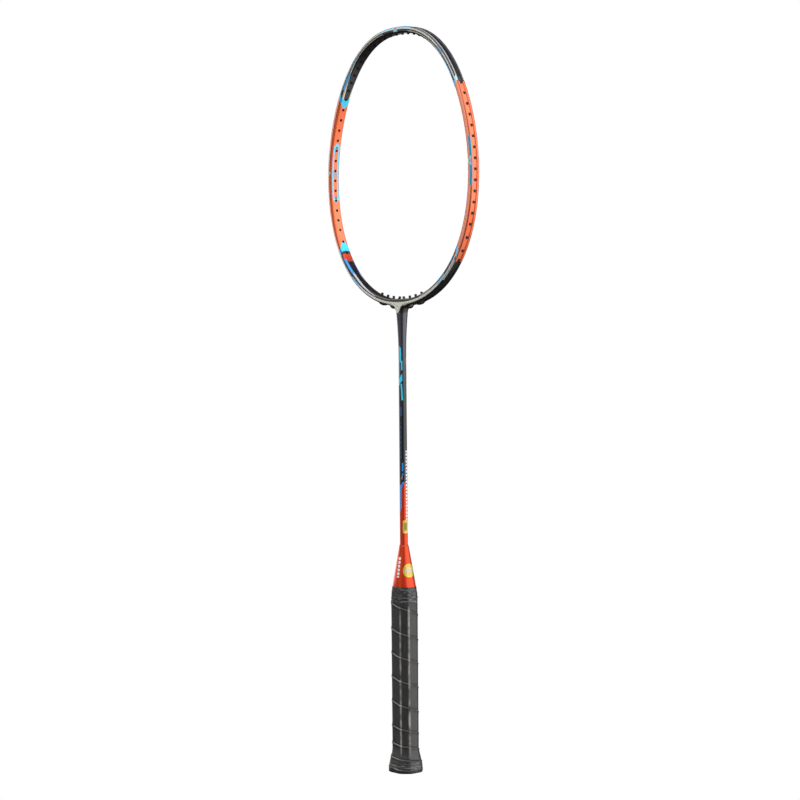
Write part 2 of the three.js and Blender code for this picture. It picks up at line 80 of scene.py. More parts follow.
# String holes, as distances along the outline from the head's top or bottom
HOLE_RADIUS = 1.35
BARREL_RADIUS = 1.15
BORE_RADIUS = 0.55
FLANGE_RADIUS = 1.4
FLANGE_THICKNESS = 0.4
SEAT_DEPTH = 0.35
STRIP_HALF_WIDTH = 1.3
STRIP_THICKNESS = 0.45
STRIP_BEDDING = 0.15  # how deep it sits in the groove's floor, and its corners' radius
GROMMET_ROUNDING = 0.16
STRIP_OVERHANG = 2.5
TOP_HOLES = (4.2, 8.4, 12)  # first, pitch, count
CROSS_HOLES = (618.9, 9.6, 14)  # first height, drop, count
WIDE_HOLES = (12.4, 25.2)  # past the last of the cross holes
LOWER_HOLES = (11.2, 5)  # pitch, count
THROAT_HOLES = (3.9, 11.9, 20.6, 29.7)
THROAT_TILT = -0.5  # of the innermost throat hole, in radians
TOP_STRIP_BARRELS = 5  # on each side of the middle
# How far the barrels stand out of the tube's inner face
TIP_TOP = 1.0
TIP_SIDE = 0.5
TIP_THROAT = 2.8

# Throat
STUB_BOTTOM_Z = HEAD_LOW[2]
STUB_RADIUS = 5.3
EARS = ((10.4, 6.4, 2.9), (25.2, 8.4, 1.9))  # distance from the middle, length, height
THROAT_REACH = 36.0  # how far along the outline the moulded throat goes each way
THROAT_BLEND = 7.0
GROOVE_END_X = 13.0  # the string groove stops this far from the middle
EAR_BLEND = 1.3
THROAT_CELL = 0.3
THROAT_SPAN = 75.0
THROAT_BOX = (42.0, 6.15, 26.0)  # half width, half depth, height above the head's bottom

# Shaft and cone
SHAFT_RADIUS = 3.55
SHAFT_BORE = 2.6
SHAFT_FLARE_Z = 377.5
SHAFT_SHOULDER = 0.24  # how much higher than the frame's shaft its finish reaches
CONE_TOP_RADIUS = 4.05
CONE_BORE = 3.85
CONE_BASE_RADIUS = 10.75
CONE_FLATS_SCALE = 0.885
CONE_SHOULDER_Z = 169.3
CONE_SOCKET_TOP_Z = 172.6
CONE_SOCKET_RADII = (6.7, 8.2)

# Handle octagon: half its sizes, and where its corners lie as a share of half its width
HALF_X = 12.1
HALF_Y = 11.1
CORNER_SHARE = 0.505
CORNER_X = HALF_X * CORNER_SHARE
CORNER_Y = HALF_Y - (HALF_X - CORNER_X)
FLARE_SCALE = 1.27
FLARE_LOW_Z = 3.0
FLARE_HIGH_Z = 23.0

# Wrap and tape
WRAP_INSET = 0.088  # the wrap's thickness, as a share of the octagon
TAPE_BORE = 0.894  # as a scale of the octagon
WRAP_COLUMNS = 144
# Heights of the wrap's seam at its starting azimuth, turn by turn, from the top end down
SEAM_HEIGHTS = (178.5, 155.0, 131.7, 109.6, 87.9, 65.9, 43.0, 27.3, 14.6, 5.5, -5.0, -17.0)
SEAM_START = math.radians(-28.8)
TURN_WIDTH = 22.0  # of a whole turn, as the rows across it are laid out
ROWS_BELOW_SEAM = (0, 0.25, 0.5, 0.75, 1.0, 1.35, 1.8, 2.4, 3.2, 4.4, 6, 8, 10, 12, 14, 16, 18,
                   20, 21.2, 21.7)

# Stickers: azimuth in radians, height and half sizes
STICKER_THICKNESS = 0.14
STICKER_GAP = 0.02
SEAL_AZIMUTH = math.radians(84)
SEAL_Z = 184.3
SEAL_RADIUS = 6.1
SEAL_SCALLOPS = 18
LABEL_AZIMUTH = math.radians(79)
LABEL_Z = 223.7
LABEL_HALF_WIDTH = 2.7
LABEL_HALF_HEIGHT = 5.9


# ---- meshes ------------------------------------------------------------------------------------
def skin(points, wrap_rows=True, wrap_columns=True):
    """Vertices and quads of a (rows, columns, 3) grid of points."""
    rows, columns = points.shape[:2]
    index = np.arange(rows * columns).reshape(rows, columns)
    if wrap_rows:
        index = np.vstack([index, index[:1]])
    if wrap_columns:
        index = np.hstack([index, index[:, :1]])
    quads = [index[:-1, :-1], index[:-1, 1:], index[1:, 1:], index[1:, :-1]]
    return points.reshape(-1, 3), np.stack(quads, -1).reshape(-1, 4)


def make_object(name, points, faces, material):
    """A closed mesh object from millimetre points."""
    mesh = bpy.data.meshes.new(name)
    mesh.from_pydata((points * MM).tolist(), [], [list(map(int, f)) for f in faces])
    mesh.materials.append(material)
    obj = bpy.data.objects.new(name, mesh)
    bpy.context.scene.collection.objects.link(obj)
    face_outward(mesh)
    return obj


def face_outward(mesh):
    """Turns the faces of a closed mesh outward, after welding points that coincide."""
    work = bmesh.new()
    work.from_mesh(mesh)
    bmesh.ops.remove_doubles(work, verts=work.verts, dist=2e-7)
    bmesh.ops.dissolve_degenerate(work, edges=work.edges, dist=1e-8)
    if work.calc_volume(signed=True) < 0:
        bmesh.ops.reverse_faces(work, faces=work.faces)
    work.to_mesh(mesh)
    work.free()


def combine(obj, other, operation):
    """Joins or cuts obj with a closed mesh, which is used up."""
    modifier = obj.modifiers.new("combine", "BOOLEAN")
    modifier.operation = operation
    modifier.solver = "MANIFOLD"
    modifier.object = other
    if hasattr(modifier, "material_mode"):
        modifier.material_mode = "TRANSFER"
    bpy.context.view_layer.update()
    evaluated = obj.evaluated_get(bpy.context.evaluated_depsgraph_get())
    mesh = bpy.data.meshes.new_from_object(evaluated)
    obj.modifiers.clear()
    old = obj.data
    obj.data = mesh
    bpy.data.meshes.remove(old)
    bpy.data.objects.remove(other)
    return obj


def finish_piece(obj, slot, *nodes, degrees=40):
    """Shades a piece smooth up to an angle, hides the frame's parts it replaces and hangs it on the
    root body.
    """
    mesh = obj.data
    mesh.polygons.foreach_set("use_smooth", [True] * len(mesh.polygons))
    mesh.set_sharp_from_angle(angle=math.radians(degrees))
    if nodes:
        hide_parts(*nodes)
    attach(obj, "root")
    return obj


def around(count):
    """Evenly spaced azimuths for a whole turn."""
    return np.arange(count) * 2 * math.pi / count


def lathe_points(profile, segments):
    """A ring of points round +Z for each [radius, z] of a profile."""
    profile = np.array(profile, float)
    angle = around(segments)
    x = profile[:, :1] * np.sin(angle)
    y = -profile[:, :1] * np.cos(angle)
    z = np.repeat(profile[:, 1:], segments, 1)
    return np.stack([x, y, z], -1)


def rounded(profile, radius, steps=3):
    """A closed [a, b] outline with each corner rounded by up to a radius."""
    made = []
    count = len(profile)
    for i, corner in enumerate(np.array(profile, float)):
        before = np.array(profile[i - 1], float) - corner
        after = np.array(profile[(i + 1) % count], float) - corner
        reach = min(radius, 0.45 * np.linalg.norm(before), 0.45 * np.linalg.norm(after))
        a = corner + before / np.linalg.norm(before) * reach
        b = corner + after / np.linalg.norm(after) * reach
        for t in np.linspace(0, 1, steps + 1):
            made.append((1 - t) ** 2 * a + 2 * t * (1 - t) * corner + t**2 * b)
    return np.array(made)


def lengths(points):
    """Distances along a line of points, from its start."""
    steps = np.linalg.norm(np.diff(points, axis=0), axis=1)
    return np.concatenate([[0], np.cumsum(steps)])


def vertices_mm(mesh):
    points = np.zeros(len(mesh.vertices) * 3)
    mesh.vertices.foreach_get("co", points)
    return points.reshape(-1, 3) / MM


def store_paint_coords(mesh, first, second):
    """Stores two numbers for each vertex, in millimetres, for the finishes to read."""
    coords = np.stack([first, second], -1)
    corner = np.zeros(len(mesh.loops), int)
    mesh.loops.foreach_get("vertex_index", corner)
    layer = mesh.uv_layers.new(name="paint")
    layer.data.foreach_set("uv", coords[corner].astype(np.float32).ravel())


# ---- node formulas -----------------------------------------------------------------------------
class Value:
    """A number in a node tree that can be used in arithmetic."""

    def __init__(self, tree, socket):
        self.tree = tree
        self.socket = socket

    def math(self, operation, *others):
        node = self.tree.nodes.new("ShaderNodeMath")
        node.operation = operation
        for i, value in enumerate((self, *others)):
            if isinstance(value, Value):
                self.tree.links.new(value.socket, node.inputs[i])
            else:
                node.inputs[i].default_value = value
        return Value(self.tree, node.outputs[0])

    def __add__(self, other):
        return self.math("ADD", other)

    def __sub__(self, other):
        return self.math("SUBTRACT", other)

    def __mul__(self, other):
        return self.math("MULTIPLY", other)

    def __gt__(self, other):
        return self.math("GREATER_THAN", other)

    def __lt__(self, other):
        return self.math("LESS_THAN", other)

    def __or__(self, other):
        return self.math("MAXIMUM", other)

    def flip(self):
        return self * -1.0 + 1.0

    def size(self):
        return self.math("ABSOLUTE")

    def between(self, low, high):
        return (self > low) * (self < high)

    def near(self, middle, full, none):
        """1 up to a distance of full from the middle and 0 beyond a distance of none."""
        return ramp((self - middle).size(), none, full)

    def fraction(self, pitch):
        """Where the number lies in its own length of a pitch, from 0 to 1."""
        return (self * (1 / pitch)).math("FRACT")


def ramp(value, zero, one):
    """0 up to one value and 1 from the other, which may be the lesser."""
    return ((value - zero) * (1 / (one - zero))).math("MINIMUM", 1.0).math("MAXIMUM", 0.0)


def srgb(*channels):
    """Linear colour from 0-255 display values."""
    linear = [c / 255 for c in channels]
    linear = [c / 12.92 if c <= 0.04045 else ((c + 0.055) / 1.055) ** 2.4 for c in linear]
    return (*linear, 1.0)


class Finish:
    """A procedural surface: layers of paint over a base, with fine bumps."""

    def __init__(self, name, colour, metallic=0.0, roughness=0.4, coat=0.0, coat_roughness=0.03):
        self.material = bpy.data.materials.new(name)
        self.material.use_nodes = True
        self.tree = self.material.node_tree
        self.shader = self.tree.nodes["Principled BSDF"]
        self.shader.inputs["Coat Roughness"].default_value = coat_roughness
        self.colour = colour
        self.metallic = metallic
        self.roughness = roughness
        self.coat = coat
        self.bumps = None

    def node(self, kind, **settings):
        made = self.tree.nodes.new(kind)
        for key, value in settings.items():
            setattr(made, key, value)
        return made

    def value(self, socket):
        return Value(self.tree, socket)

    def place(self):
        """Object coordinates in millimetres, as three numbers."""
        source = self.node("ShaderNodeTexCoord").outputs["Object"]
        split = self.node("ShaderNodeSeparateXYZ")
        self.tree.links.new(source, split.inputs[0])
        return [self.value(split.outputs[i]) * 1000.0 for i in range(3)]

    def painted(self):
        """The mesh's two paint coordinates, in millimetres."""
        split = self.node("ShaderNodeSeparateXYZ")
        self.tree.links.new(self.node("ShaderNodeUVMap", uv_map="paint").outputs[0], split.inputs[0])
        return [self.value(split.outputs[i]) for i in range(2)]

    def noise(self, scale, detail=3.0, stretch=(1, 1, 1), roughness=0.5):
        """Noise from 0 to 1 with cells of about 1 / scale metres."""
        mapping = self.node("ShaderNodeMapping")
        mapping.inputs["Scale"].default_value = stretch
        self.tree.links.new(self.node("ShaderNodeTexCoord").outputs["Object"], mapping.inputs[0])
        noise = self.node("ShaderNodeTexNoise")
        noise.inputs["Scale"].default_value = scale
        noise.inputs["Detail"].default_value = detail
        noise.inputs["Roughness"].default_value = roughness
        self.tree.links.new(mapping.outputs[0], noise.inputs["Vector"])
        return self.value(noise.outputs["Fac"])

    def layer(self, mask, colour, metallic=None, roughness=None):
        """Paints colour where mask is 1."""
        mix = self.node("ShaderNodeMix", data_type="RGBA")
        self.tree.links.new(mask.socket, mix.inputs["Factor"])
        for index, source in ((6, self.colour), (7, colour)):
            if isinstance(source, tuple):
                mix.inputs[index].default_value = source
            else:
                self.tree.links.new(source, mix.inputs[index])
        self.colour = mix.outputs[2]
        if metallic is not None:
            self.metallic = mask * metallic + mask.flip() * self.metallic
        if roughness is not None:
            self.roughness = mask * roughness + mask.flip() * self.roughness

    def bump(self, height, distance_mm, strength=1.0):
        """Adds relief from a height of 0 to 1."""
        node = self.node("ShaderNodeBump")
        node.inputs["Strength"].default_value = strength
        node.inputs["Distance"].default_value = distance_mm * MM
        self.tree.links.new(height.socket, node.inputs["Height"])
        if self.bumps is not None:
            self.tree.links.new(self.bumps, node.inputs["Normal"])
        self.bumps = node.outputs[0]

    def done(self):
        inputs = self.shader.inputs
        if isinstance(self.colour, tuple):
            inputs["Base Color"].default_value = self.colour
        else:
            self.tree.links.new(self.colour, inputs["Base Color"])
        driven = {"Metallic": self.metallic, "Roughness": self.roughness, "Coat Weight": self.coat}
        for key, value in driven.items():
            if isinstance(value, Value):
                self.tree.links.new(value.socket, inputs[key])
            else:
                inputs[key].default_value = value
        if self.bumps is not None:
            self.tree.links.new(self.bumps, inputs["Normal"])
        return self.material


# ---- head outline ------------------------------------------------------------------------------
def signed_power(value, power):
    return np.sign(value) * np.abs(value) ** power


def trace_outline(samples=40000):
    """Points along the head's outer outline from the top towards +X, with their distances."""
    angle = math.pi / 2 - 2 * math.pi * np.arange(samples + 1) / samples
    across, up = np.cos(angle), np.sin(angle)
    above = up >= 0
    power_x = np.where(above, UPPER_POWERS[0], LOWER_POWERS[0])
    power_z = np.where(above, UPPER_POWERS[1], LOWER_POWERS[1])
    height = np.where(above, HEAD_TOP_Z - HEAD_WIDEST_Z, HEAD_WIDEST_Z - HEAD_BOTTOM_Z)
    x = HEAD_WIDTH / 2 * signed_power(across, power_x)
    z = HEAD_WIDEST_Z + height * signed_power(up, power_z)
    return lengths(np.stack([x, z], -1)), x, z


TRACE_S, TRACE_X, TRACE_Z = trace_outline()
HALF_LENGTH = TRACE_S[-1] / 2


def outline(distance):
    """Points on the outer face and inward directions at distances along the outline."""
    distance = np.atleast_1d(np.asarray(distance, float))

    def place(shift):
        at = np.mod(distance + shift, 2 * HALF_LENGTH)
        return [np.interp(at, TRACE_S, trace) for trace in (TRACE_X, TRACE_Z)]

    x, z = place(0)
    dx, dz = (after - before for before, after in zip(place(-1), place(1)))
    length = np.hypot(dx, dz)
    zero = np.zeros_like(x)
    point = np.stack([x, zero, z], -1)
    inward = np.stack([dz / length, zero, -dx / length], -1)
    return point, inward


def distance_at_height(z):
    half = TRACE_S <= HALF_LENGTH
    return float(np.interp(-z, -TRACE_Z[half], TRACE_S[half]))


def arc(centre, radius, start, steps=8):
    angle = start + np.linspace(0, math.pi / 2, steps + 1)
    return np.stack([centre[0] + radius * np.cos(angle), centre[1] + radius * np.sin(angle)], -1)


def half_section():
    """One half of the tube's section as [out, y], from the groove's middle to the inner middle."""
    half, r = TUBE_HALF_DEPTH, TUBE_CORNER
    lip = GROOVE_HALF_WIDTH + GROOVE_SLOPE
    points = [
        [(-GROOVE_DEPTH, 0), (-GROOVE_DEPTH, 0.8), (-GROOVE_DEPTH, GROOVE_HALF_WIDTH)],
        [(-0.12, lip - 0.06), (-0.03, lip + 0.04)],
        arc((-r, half - r), r, 0),
        [(-TUBE_THICKNESS / 2, half)],
        arc((r - TUBE_THICKNESS, half - r), r, math.pi / 2),
        [(-TUBE_THICKNESS, 1.2), (-TUBE_THICKNESS, 0)],
    ]
    return np.vstack([np.array(p, float) for p in points])


HALF_SECTION = half_section()
HALF_SPAN = lengths(HALF_SECTION)
SPAN_END = HALF_SPAN[-1]
SECTION = np.vstack([HALF_SECTION, HALF_SECTION[-2:0:-1] * [1, -1]])


def sweep(section, distance):
    """A section of [out, y] placed at each distance along the outline."""
    point, inward = outline(distance)
    rings = point[:, None, :] - inward[:, None, :] * section[None, :, :1]
    rings[..., 1] = section[None, :, 1]
    return rings


def cavity_section():
    half = TUBE_HALF_DEPTH - TUBE_WALL
    outer = -GROOVE_DEPTH - TUBE_WALL
    inner = -TUBE_THICKNESS + TUBE_WALL
    corners = [(outer, -half), (outer, half), (inner, half), (inner, -half)]
    return rounded(corners, CAVITY_CORNER)


# ---- string holes ------------------------------------------------------------------------------
class Hole:
    """A string hole: a start on the outer face and an axis into the head."""

    def __init__(self, distance, side, tip, tilt=0.0):
        point, inward = outline(side * distance)
        turn = Quaternion((0, 1, 0), side * tilt)
        axis = np.array(turn @ Vector(inward[0]))
        self.axis = axis
        self.start = point[0] + inward[0] * TUBE_THICKNESS - axis * TUBE_THICKNESS
        self.distance = distance
        self.side = side
        self.tip = tip
        self.tilted = tilt != 0

    def place(self, points):
        """Points made along +Z, moved onto the hole's axis with z as the depth."""
        turn = Vector((0, 0, 1)).rotation_difference(Vector(self.axis)).to_matrix()
        return points @ np.array(turn).T + self.start


def holes_on(side):
    first, pitch, count = TOP_HOLES
    top = [Hole(first + pitch * i, side, TIP_TOP) for i in range(count)]
    z, drop, count = CROSS_HOLES
    cross = [Hole(distance_at_height(z - drop * i), side, TIP_SIDE) for i in range(count)]
    last = cross[-1].distance
    cross += [Hole(last + step, side, TIP_SIDE) for step in WIDE_HOLES]
    pitch, count = LOWER_HOLES
    last += WIDE_HOLES[-1]
    lower = [Hole(last + pitch * (i + 1), side, TIP_SIDE) for i in range(count)]
    throat = [
        Hole(HALF_LENGTH - reach, side, TIP_THROAT, THROAT_TILT if i == 0 else 0.0)
        for i, reach in enumerate(THROAT_HOLES)
    ]
    return {"top": top, "cross": cross, "lower": lower, "throat": throat}


HOLES = {"right": holes_on(1), "left": holes_on(-1)}
ALL_HOLES = [hole for side in HOLES.values() for group in side.values() for hole in group]


def merged(parts):
    """Several (points, faces) as one."""
    points, faces, count = [], [], 0
    for part_points, part_faces in parts:
        points.append(part_points)
        faces.extend([[int(i) + count for i in face] for face in part_faces])
        count += len(part_points)
    return np.vstack(points), faces


def rod_mesh(hole, radius, from_depth, to_depth, segments=20):
    profile = [(0, from_depth), (radius, from_depth), (radius, to_depth), (0, to_depth)]
    rings = lathe_points(profile, segments)
    points, faces = skin(rings, wrap_rows=False)
    return hole.place(points), faces


# ---- finishes ----------------------------------------------------------------------------------
ORANGE = srgb(242, 101, 28)
ORANGE_METAL = 0.42
ORANGE_ROUGHNESS = 0.34
PAINTED_BEVEL_SHADE = srgb(140, 30, 10)
ORANGE_FRONT_HIGHLIGHT = srgb(255, 164, 128)
ORANGE_DEEP = srgb(206, 64, 26)
PAINT_BLACK = srgb(30, 26, 24)
GLOSS_BLACK = srgb(20, 20, 23)
CYAN = srgb(48, 214, 250)
BLUE = srgb(44, 146, 238)
BRIGHT_BLUE = srgb(70, 182, 255)
DIM_BLUE = srgb(24, 74, 112)
MIST_BLUE = srgb(112, 178, 220)
SKY_BLUE = srgb(104, 190, 236)
DEEP_BLUE = srgb(14, 30, 36)
TEAL = srgb(20, 160, 196)
DEEP_TEAL = srgb(0, 118, 158)
PALE_CYAN = srgb(150, 228, 236)
SILVER = srgb(222, 221, 208)
THROAT_SILVER = srgb(222, 221, 206)
LILAC = srgb(176, 178, 194)
WHITE = srgb(236, 238, 236)
RED = srgb(232, 70, 44)
GREY = srgb(132, 140, 146)
SHAFT_TOP_HIGHLIGHT = srgb(74, 74, 84)
RUBBER_HIGHLIGHT = srgb(150, 147, 141)
END = 400.0  # past the farthest s
HEXAGON_S = 177.7  # the middle of the hexagon and of the side stripe


def flakes(finish, strength=0.12):
    """Fine metallic flake and the slight unevenness of sprayed lacquer."""
    finish.bump(finish.noise(5200.0, 2.0), 0.012, strength)
    finish.bump(finish.noise(420.0, 1.0), 0.03, strength * 0.6)


# The hoop's colours are laid out by s, the distance from the top, and v, the distance round the
# section from the groove: 2.7 is the groove's lip, 6.4 to 7.8 the front face, 13.6 the inner
# middle. The back is painted like the front.
def band(paint, s, v, colour, along, across, lean=0.0, metallic=0.2, roughness=None):
    """A band between two s, whose ends lean by v, and two v."""
    ends = (s + v * lean) if lean else s
    paint.layer(ends.between(*along) * v.between(*across), colour, metallic, roughness)


def paint_stripes(paint, s, v):
    """Silver and white pinstripes along the dark parts of the hoop, and lilac lines painted on as
    highlights near its corners.
    """
    band(paint, s, v, SILVER, (20.0, 106.0), (6.2, 7.4), 0.0, 0.12, 0.35)
    band(paint, s, v, SILVER, (262.0, END), (6.2, 7.4), 0.0, 0.12, 0.35)
    band(paint, s, v, WHITE, (-1.0, 22.0), (6.3, 7.4))
    band(paint, s, v, SILVER, (292.0, END), (6.6, 8.4), 0.0, 0.12, 0.35)
    # Painted highlight: a lilac line on the outer front corner of the upper sides.
    band(paint, s, v, LILAC, (30.0, 104.0), (3.7, 4.6))
    band(paint, s, v, SILVER, (268.0, 292.0), (5.0, 6.0))
    past = (s - 60.0).math("MAXIMUM", 0.0)
    slide = v - past * 0.056
    paint.layer(s.between(18.0, 106.0) * slide.between(8.6, 9.1), SILVER, 0.2)
    wide = (slide - 8.8).size() < past * 0.018 + 0.3
    paint.layer(s.between(60.0, 106.0) * wide, SILVER, 0.2)
    # Painted highlight: a lilac wedge on the inner corner of the lower sides.
    past = (s - 290.0).math("MAXIMUM", 0.0)
    away = (v - 11.3 + past * 0.058).size()
    paint.layer(s.between(283.0, 326.0) * (away < past * -0.022 + 1.1), LILAC, 0.2)


def paint_orange(paint, s, v):
    """The orange sides, with a painted highlight along the front face and painted shade along its
    bevel corners, and cyan arrow heads at their ends.
    """
    start = ((v - 5.2) * 1.14 | (v - 5.2) * -0.6) + 104.0
    finish = (v < 5.2) * 11.5 + (v > 5.2) * (v * -1.5 + 20.4) + 247.0
    orange = (s > start) * (s < finish + (v < 5.2) * 11.5)
    paint.layer(orange, ORANGE, ORANGE_METAL, ORANGE_ROUGHNESS)
    # Painted highlight: a pale orange along the front face stands in for the reflection of the light
    # on the left.
    paint.layer(orange * v.near(7.0, 1.1, 1.6) * 0.9, ORANGE_FRONT_HIGHLIGHT, 0.1)
    # Painted shade: a dark red along the two bevel corners beside the front face, where the lacquer
    # faces the dark room in front.
    corner = v.near(9.0, 0.4, 0.8) | v.near(4.7, 0.4, 0.7)
    paint.layer(orange * corner * 0.85, PAINTED_BEVEL_SHADE)
    paint.coat = orange * 0.75 + 0.25
    head_start = ((v - 5.2) * 1.3 + 99.3).math("MINIMUM", (v - 9.5) * 0.5 + 104.4)
    tail = (v * -2.2 + 278.4) | (v * -0.2 + 259.2)
    upper = (s > head_start) * (s < start) * (v > 4.6)
    lower = (s > finish) * (s < tail) * (v > 5.2)
    for arrow in (upper, lower):
        paint.layer(arrow * (v < 8.0), PALE_CYAN, 0.2, 0.35)
        paint.layer(arrow * v.between(8.0, 10.0), BLUE, 0.2, 0.35)
        paint.layer(arrow * (v > 10.0), CYAN, 0.2, 0.35)
    patch = (s > tail + 3.0) * (s < (v - 9.0) * 0.8 + 266.0) * (v > 8.2)
    paint.layer(patch, ORANGE_DEEP, ORANGE_METAL, ORANGE_ROUGHNESS)


def paint_streaks(paint, s, v):
    """Blue streaks in the dark parts of the hoop."""
    band(paint, s, v, MIST_BLUE, (58.5, 69.0), (6.3, 7.9), -0.6)
    band(paint, s, v, SKY_BLUE, (280.5, 294.0), (7.0, 8.6), -0.8)
    band(paint, s, v, DIM_BLUE, (48.5, 54.0), (9.5, 10.6), -1.0)
    band(paint, s, v, BRIGHT_BLUE, (87.5, 104.5), (8.6, 10.4), 0.9, 0.1)
    away = (v - (s - 268.0) * 0.06 - 10.1).size()
    paint.layer((away < 1.15) * (s - v * 0.8).between(257.5, 276.0), BLUE, 0.2)


def paint_top_band(paint, s, v):
    """The teal band over the top, with a notch in its middle."""
    band(paint, s, v, DEEP_TEAL, (-1.0, 26.5), (3.4, 6.3), 0.8, 0.0, 0.7)
    band(paint, s, v, CYAN, (-1.0, 20.0), (5.6, 6.3))
    notch = (s + (v - 9.3).size() * 0.9 < 3.4) * v.between(6.0, 9.4)
    paint.layer(notch, PALE_CYAN, 0.0)
    paint.layer(s + (v - 6.0).size() * 1.2 < 1.9, RED, 0.0)


def paint_hexagon(paint, s, v):
    """The long outlined hexagon on the inner face of each side."""
    reach = v * -1.0 + SPAN_END
    tip = (s - HEXAGON_S).size() + reach * 1.22
    paint.layer((reach < 3.8) * (tip < 29.2), TEAL, 0.2, 0.35)
    paint.layer(reach.between(2.5, 3.3) * (tip < 29.2), CYAN, 0.2)
    paint.layer(tip.between(26.4, 28.4) * (reach < 3.3), CYAN, 0.2)
    paint.layer((reach < 2.1) * (tip < 25.6), DEEP_BLUE, 0.2, 0.35)
    paint.layer((reach < 2.0) * ((s - HEXAGON_S).size() < 23.4), ORANGE, 0.8, 0.46)
    paint.layer(((s - 179.6).size() < 2.9) * (reach < 2.1), GREY, 0.3)


def paint_side_stripe(paint, s, v):
    """The teal stripe outside each side, with a pale notch."""
    tip = (s - HEXAGON_S).size() + (v - 5.2).size() * 0.9
    paint.layer(v.between(4.4, 6.7) * (tip < 22.6), TEAL, 0.3, 0.35)
    centre = (s - 178.0).size()
    paint.layer((centre + v * 0.95 < 9.6) * v.between(5.3, 9.8), PALE_CYAN, 0.1, 0.35)
    paint.layer((centre + v < 7.9) * v.between(5.9, 7.7), ORANGE, 0.3, 0.4)


def paint_throat(paint, s, v, x, y, z):
    """The silver front of the throat, which narrows down into the stub, and a plain disc."""
    gather = ramp(s, 338.0, 357.0)
    low = gather * gather * -4.4 + 6.5
    dip = (x * x * (-1 / 12.0)).math("EXPONENT") * -6.7 + 424.5
    face = (s > 326.0) * (v < 8.4) * (v > low) * (z > dip) * (y.size() > 2.6)
    paint.layer(face, THROAT_SILVER, 0.15, 0.34)
    away = (x * x + (z - HEAD_BOTTOM_Z) * (z - HEAD_BOTTOM_Z)).math("SQRT")
    disc = (y.size() > 3.0) * (away < 1.7)
    paint.layer(disc, WHITE, 0.1, 0.4)
    paint.layer(disc * away.between(0.9, 1.2), LILAC, 0.3)
    paint.layer(disc * (away < 0.5), GREY, 0.3)


def build_head_paint():
    paint = Finish("head_paint", PAINT_BLACK, 0.0, 0.3)
    s, v = paint.painted()
    x, y, z = paint.place()
    paint_stripes(paint, s, v)
    paint_orange(paint, s, v)
    paint_streaks(paint, s, v)
    paint_top_band(paint, s, v)
    paint_hexagon(paint, s, v)
    paint_side_stripe(paint, s, v)
    paint_throat(paint, s, v, x, y, z)
    flakes(paint, 0.02)
    return paint.done()


# The shaft's marks are laid out by turn, the angle in degrees round from the front or from the
# back towards the same side, and height.
def mark(paint, turn, z, colour, turns, heights, lean=0.0, slope=0.0):
    """A mark between two turns, which slope with height, and two heights, which lean."""
    middle = (heights[0] + heights[1]) / 2
    across = turn - (z - middle) * slope if slope else turn
    along = z + turn * lean if lean else z
    paint.layer(across.between(*turns) * along.between(*heights), colour, 0.1)


def paint_shaft_top(paint, turn, z):
    """Cyan bars below the throat."""
    mark(paint, turn, z, CYAN, (-3.0, 30.0), (374.4, 388.0), lean=0.08)
    mark(paint, turn, z, TEAL, (-24.0, 4.0), (360.0, 375.0))
    mark(paint, turn, z, CYAN, (28.0, 48.0), (363.9, 372.4), lean=-0.05)
    mark(paint, turn, z, CYAN, (-15.0, 46.0), (352.6, 358.8), lean=-0.09)
    mark(paint, turn, z, CYAN, (25.4, 47.4), (338.8, 353.6), slope=-0.9)
    mark(paint, turn, z, DIM_BLUE, (-14.0, 37.0), (324.3, 332.5))


def paint_shaft_bottom(paint, turn, z):
    """Plain dashes, and the blue marks where black turns to orange."""
    dashes = turn.between(-9.0, 17.0) * z.between(286.0, 319.0) * (z.fraction(4.6) < 0.62)
    paint.layer(dashes, DIM_BLUE, 0.1)
    edge = turn.math("MAXIMUM", -20.0).math("MINIMUM", 60.0) * 0.13 + 255.8
    paint.layer(z < edge, ORANGE_DEEP, 0.8, 0.42)
    mark(paint, turn, z, BLUE, (30.0, 50.0), (274.3, 282.0))
    mark(paint, turn, z, BLUE, (28.8, 44.8), (268.8, 272.6), slope=4.0)
    paint.layer(turn.between(19.0, 38.0) * z.between(266.8, 268.8), ORANGE, 0.3)
    mark(paint, turn, z, BLUE, (14.8, 38.8), (258.0, 264.6), slope=7.4)
    stripe = turn.between(-18.0, 17.0) * (z < 262.0) * (z - turn * 0.12 > 239.0)
    paint.layer(stripe, BLUE, 0.1)


def paint_shaft_side(paint, turn, x, y, z):
    """A row of white dashes and a red tick beside the front."""
    edge = y * ((x > 0.0) * 2.0 - 1.0) - 0.8
    dashes = (edge.size() < 0.8) * z.between(230.0, 293.0) * (z.fraction(3.1) < 0.66)
    paint.layer(dashes, WHITE, 0.1)
    mark(paint, turn, z, RED, (-72.0, -48.0), (371.4, 377.0))


def build_shaft_paint():
    paint = Finish("shaft_lacquer", GLOSS_BLACK, 0.1, 0.25, coat=0.2)
    x, y, z = paint.place()
    side = (y < 0.0) * 2.0 - 1.0
    turn = (x * side).math("ARCTAN2", y.size()) * math.degrees(1)
    # Painted highlight: a metallic grey fading in towards the top stands in for the brighter
    # reflection on the flare.
    paint.layer(ramp(z, 325.0, 390.0) * 0.95, SHAFT_TOP_HIGHLIGHT, 0.7)
    paint_shaft_top(paint, turn, z)
    paint_shaft_bottom(paint, turn, z)
    paint_shaft_side(paint, turn, x, y, z)
    flakes(paint, 0.08)
    return paint.done()


def build_cone_paint():
    """Orange lacquer with a row of plain white blocks."""
    paint = Finish("cone_lacquer", srgb(206, 60, 20), 0.55, 0.32, coat=0.05, coat_roughness=0.1)
    x, y, z = paint.place()
    away = (x - 1.3 + (z - 187.0) * 0.03).size()
    blocks = (away < 1.2) * z.between(178.0, 196.6) * (z.fraction(3.4) < 0.72) * (y < 0.0)
    paint.layer(blocks, WHITE, 0.0, 0.3)
    flakes(paint, 0.1)
    return paint.done()


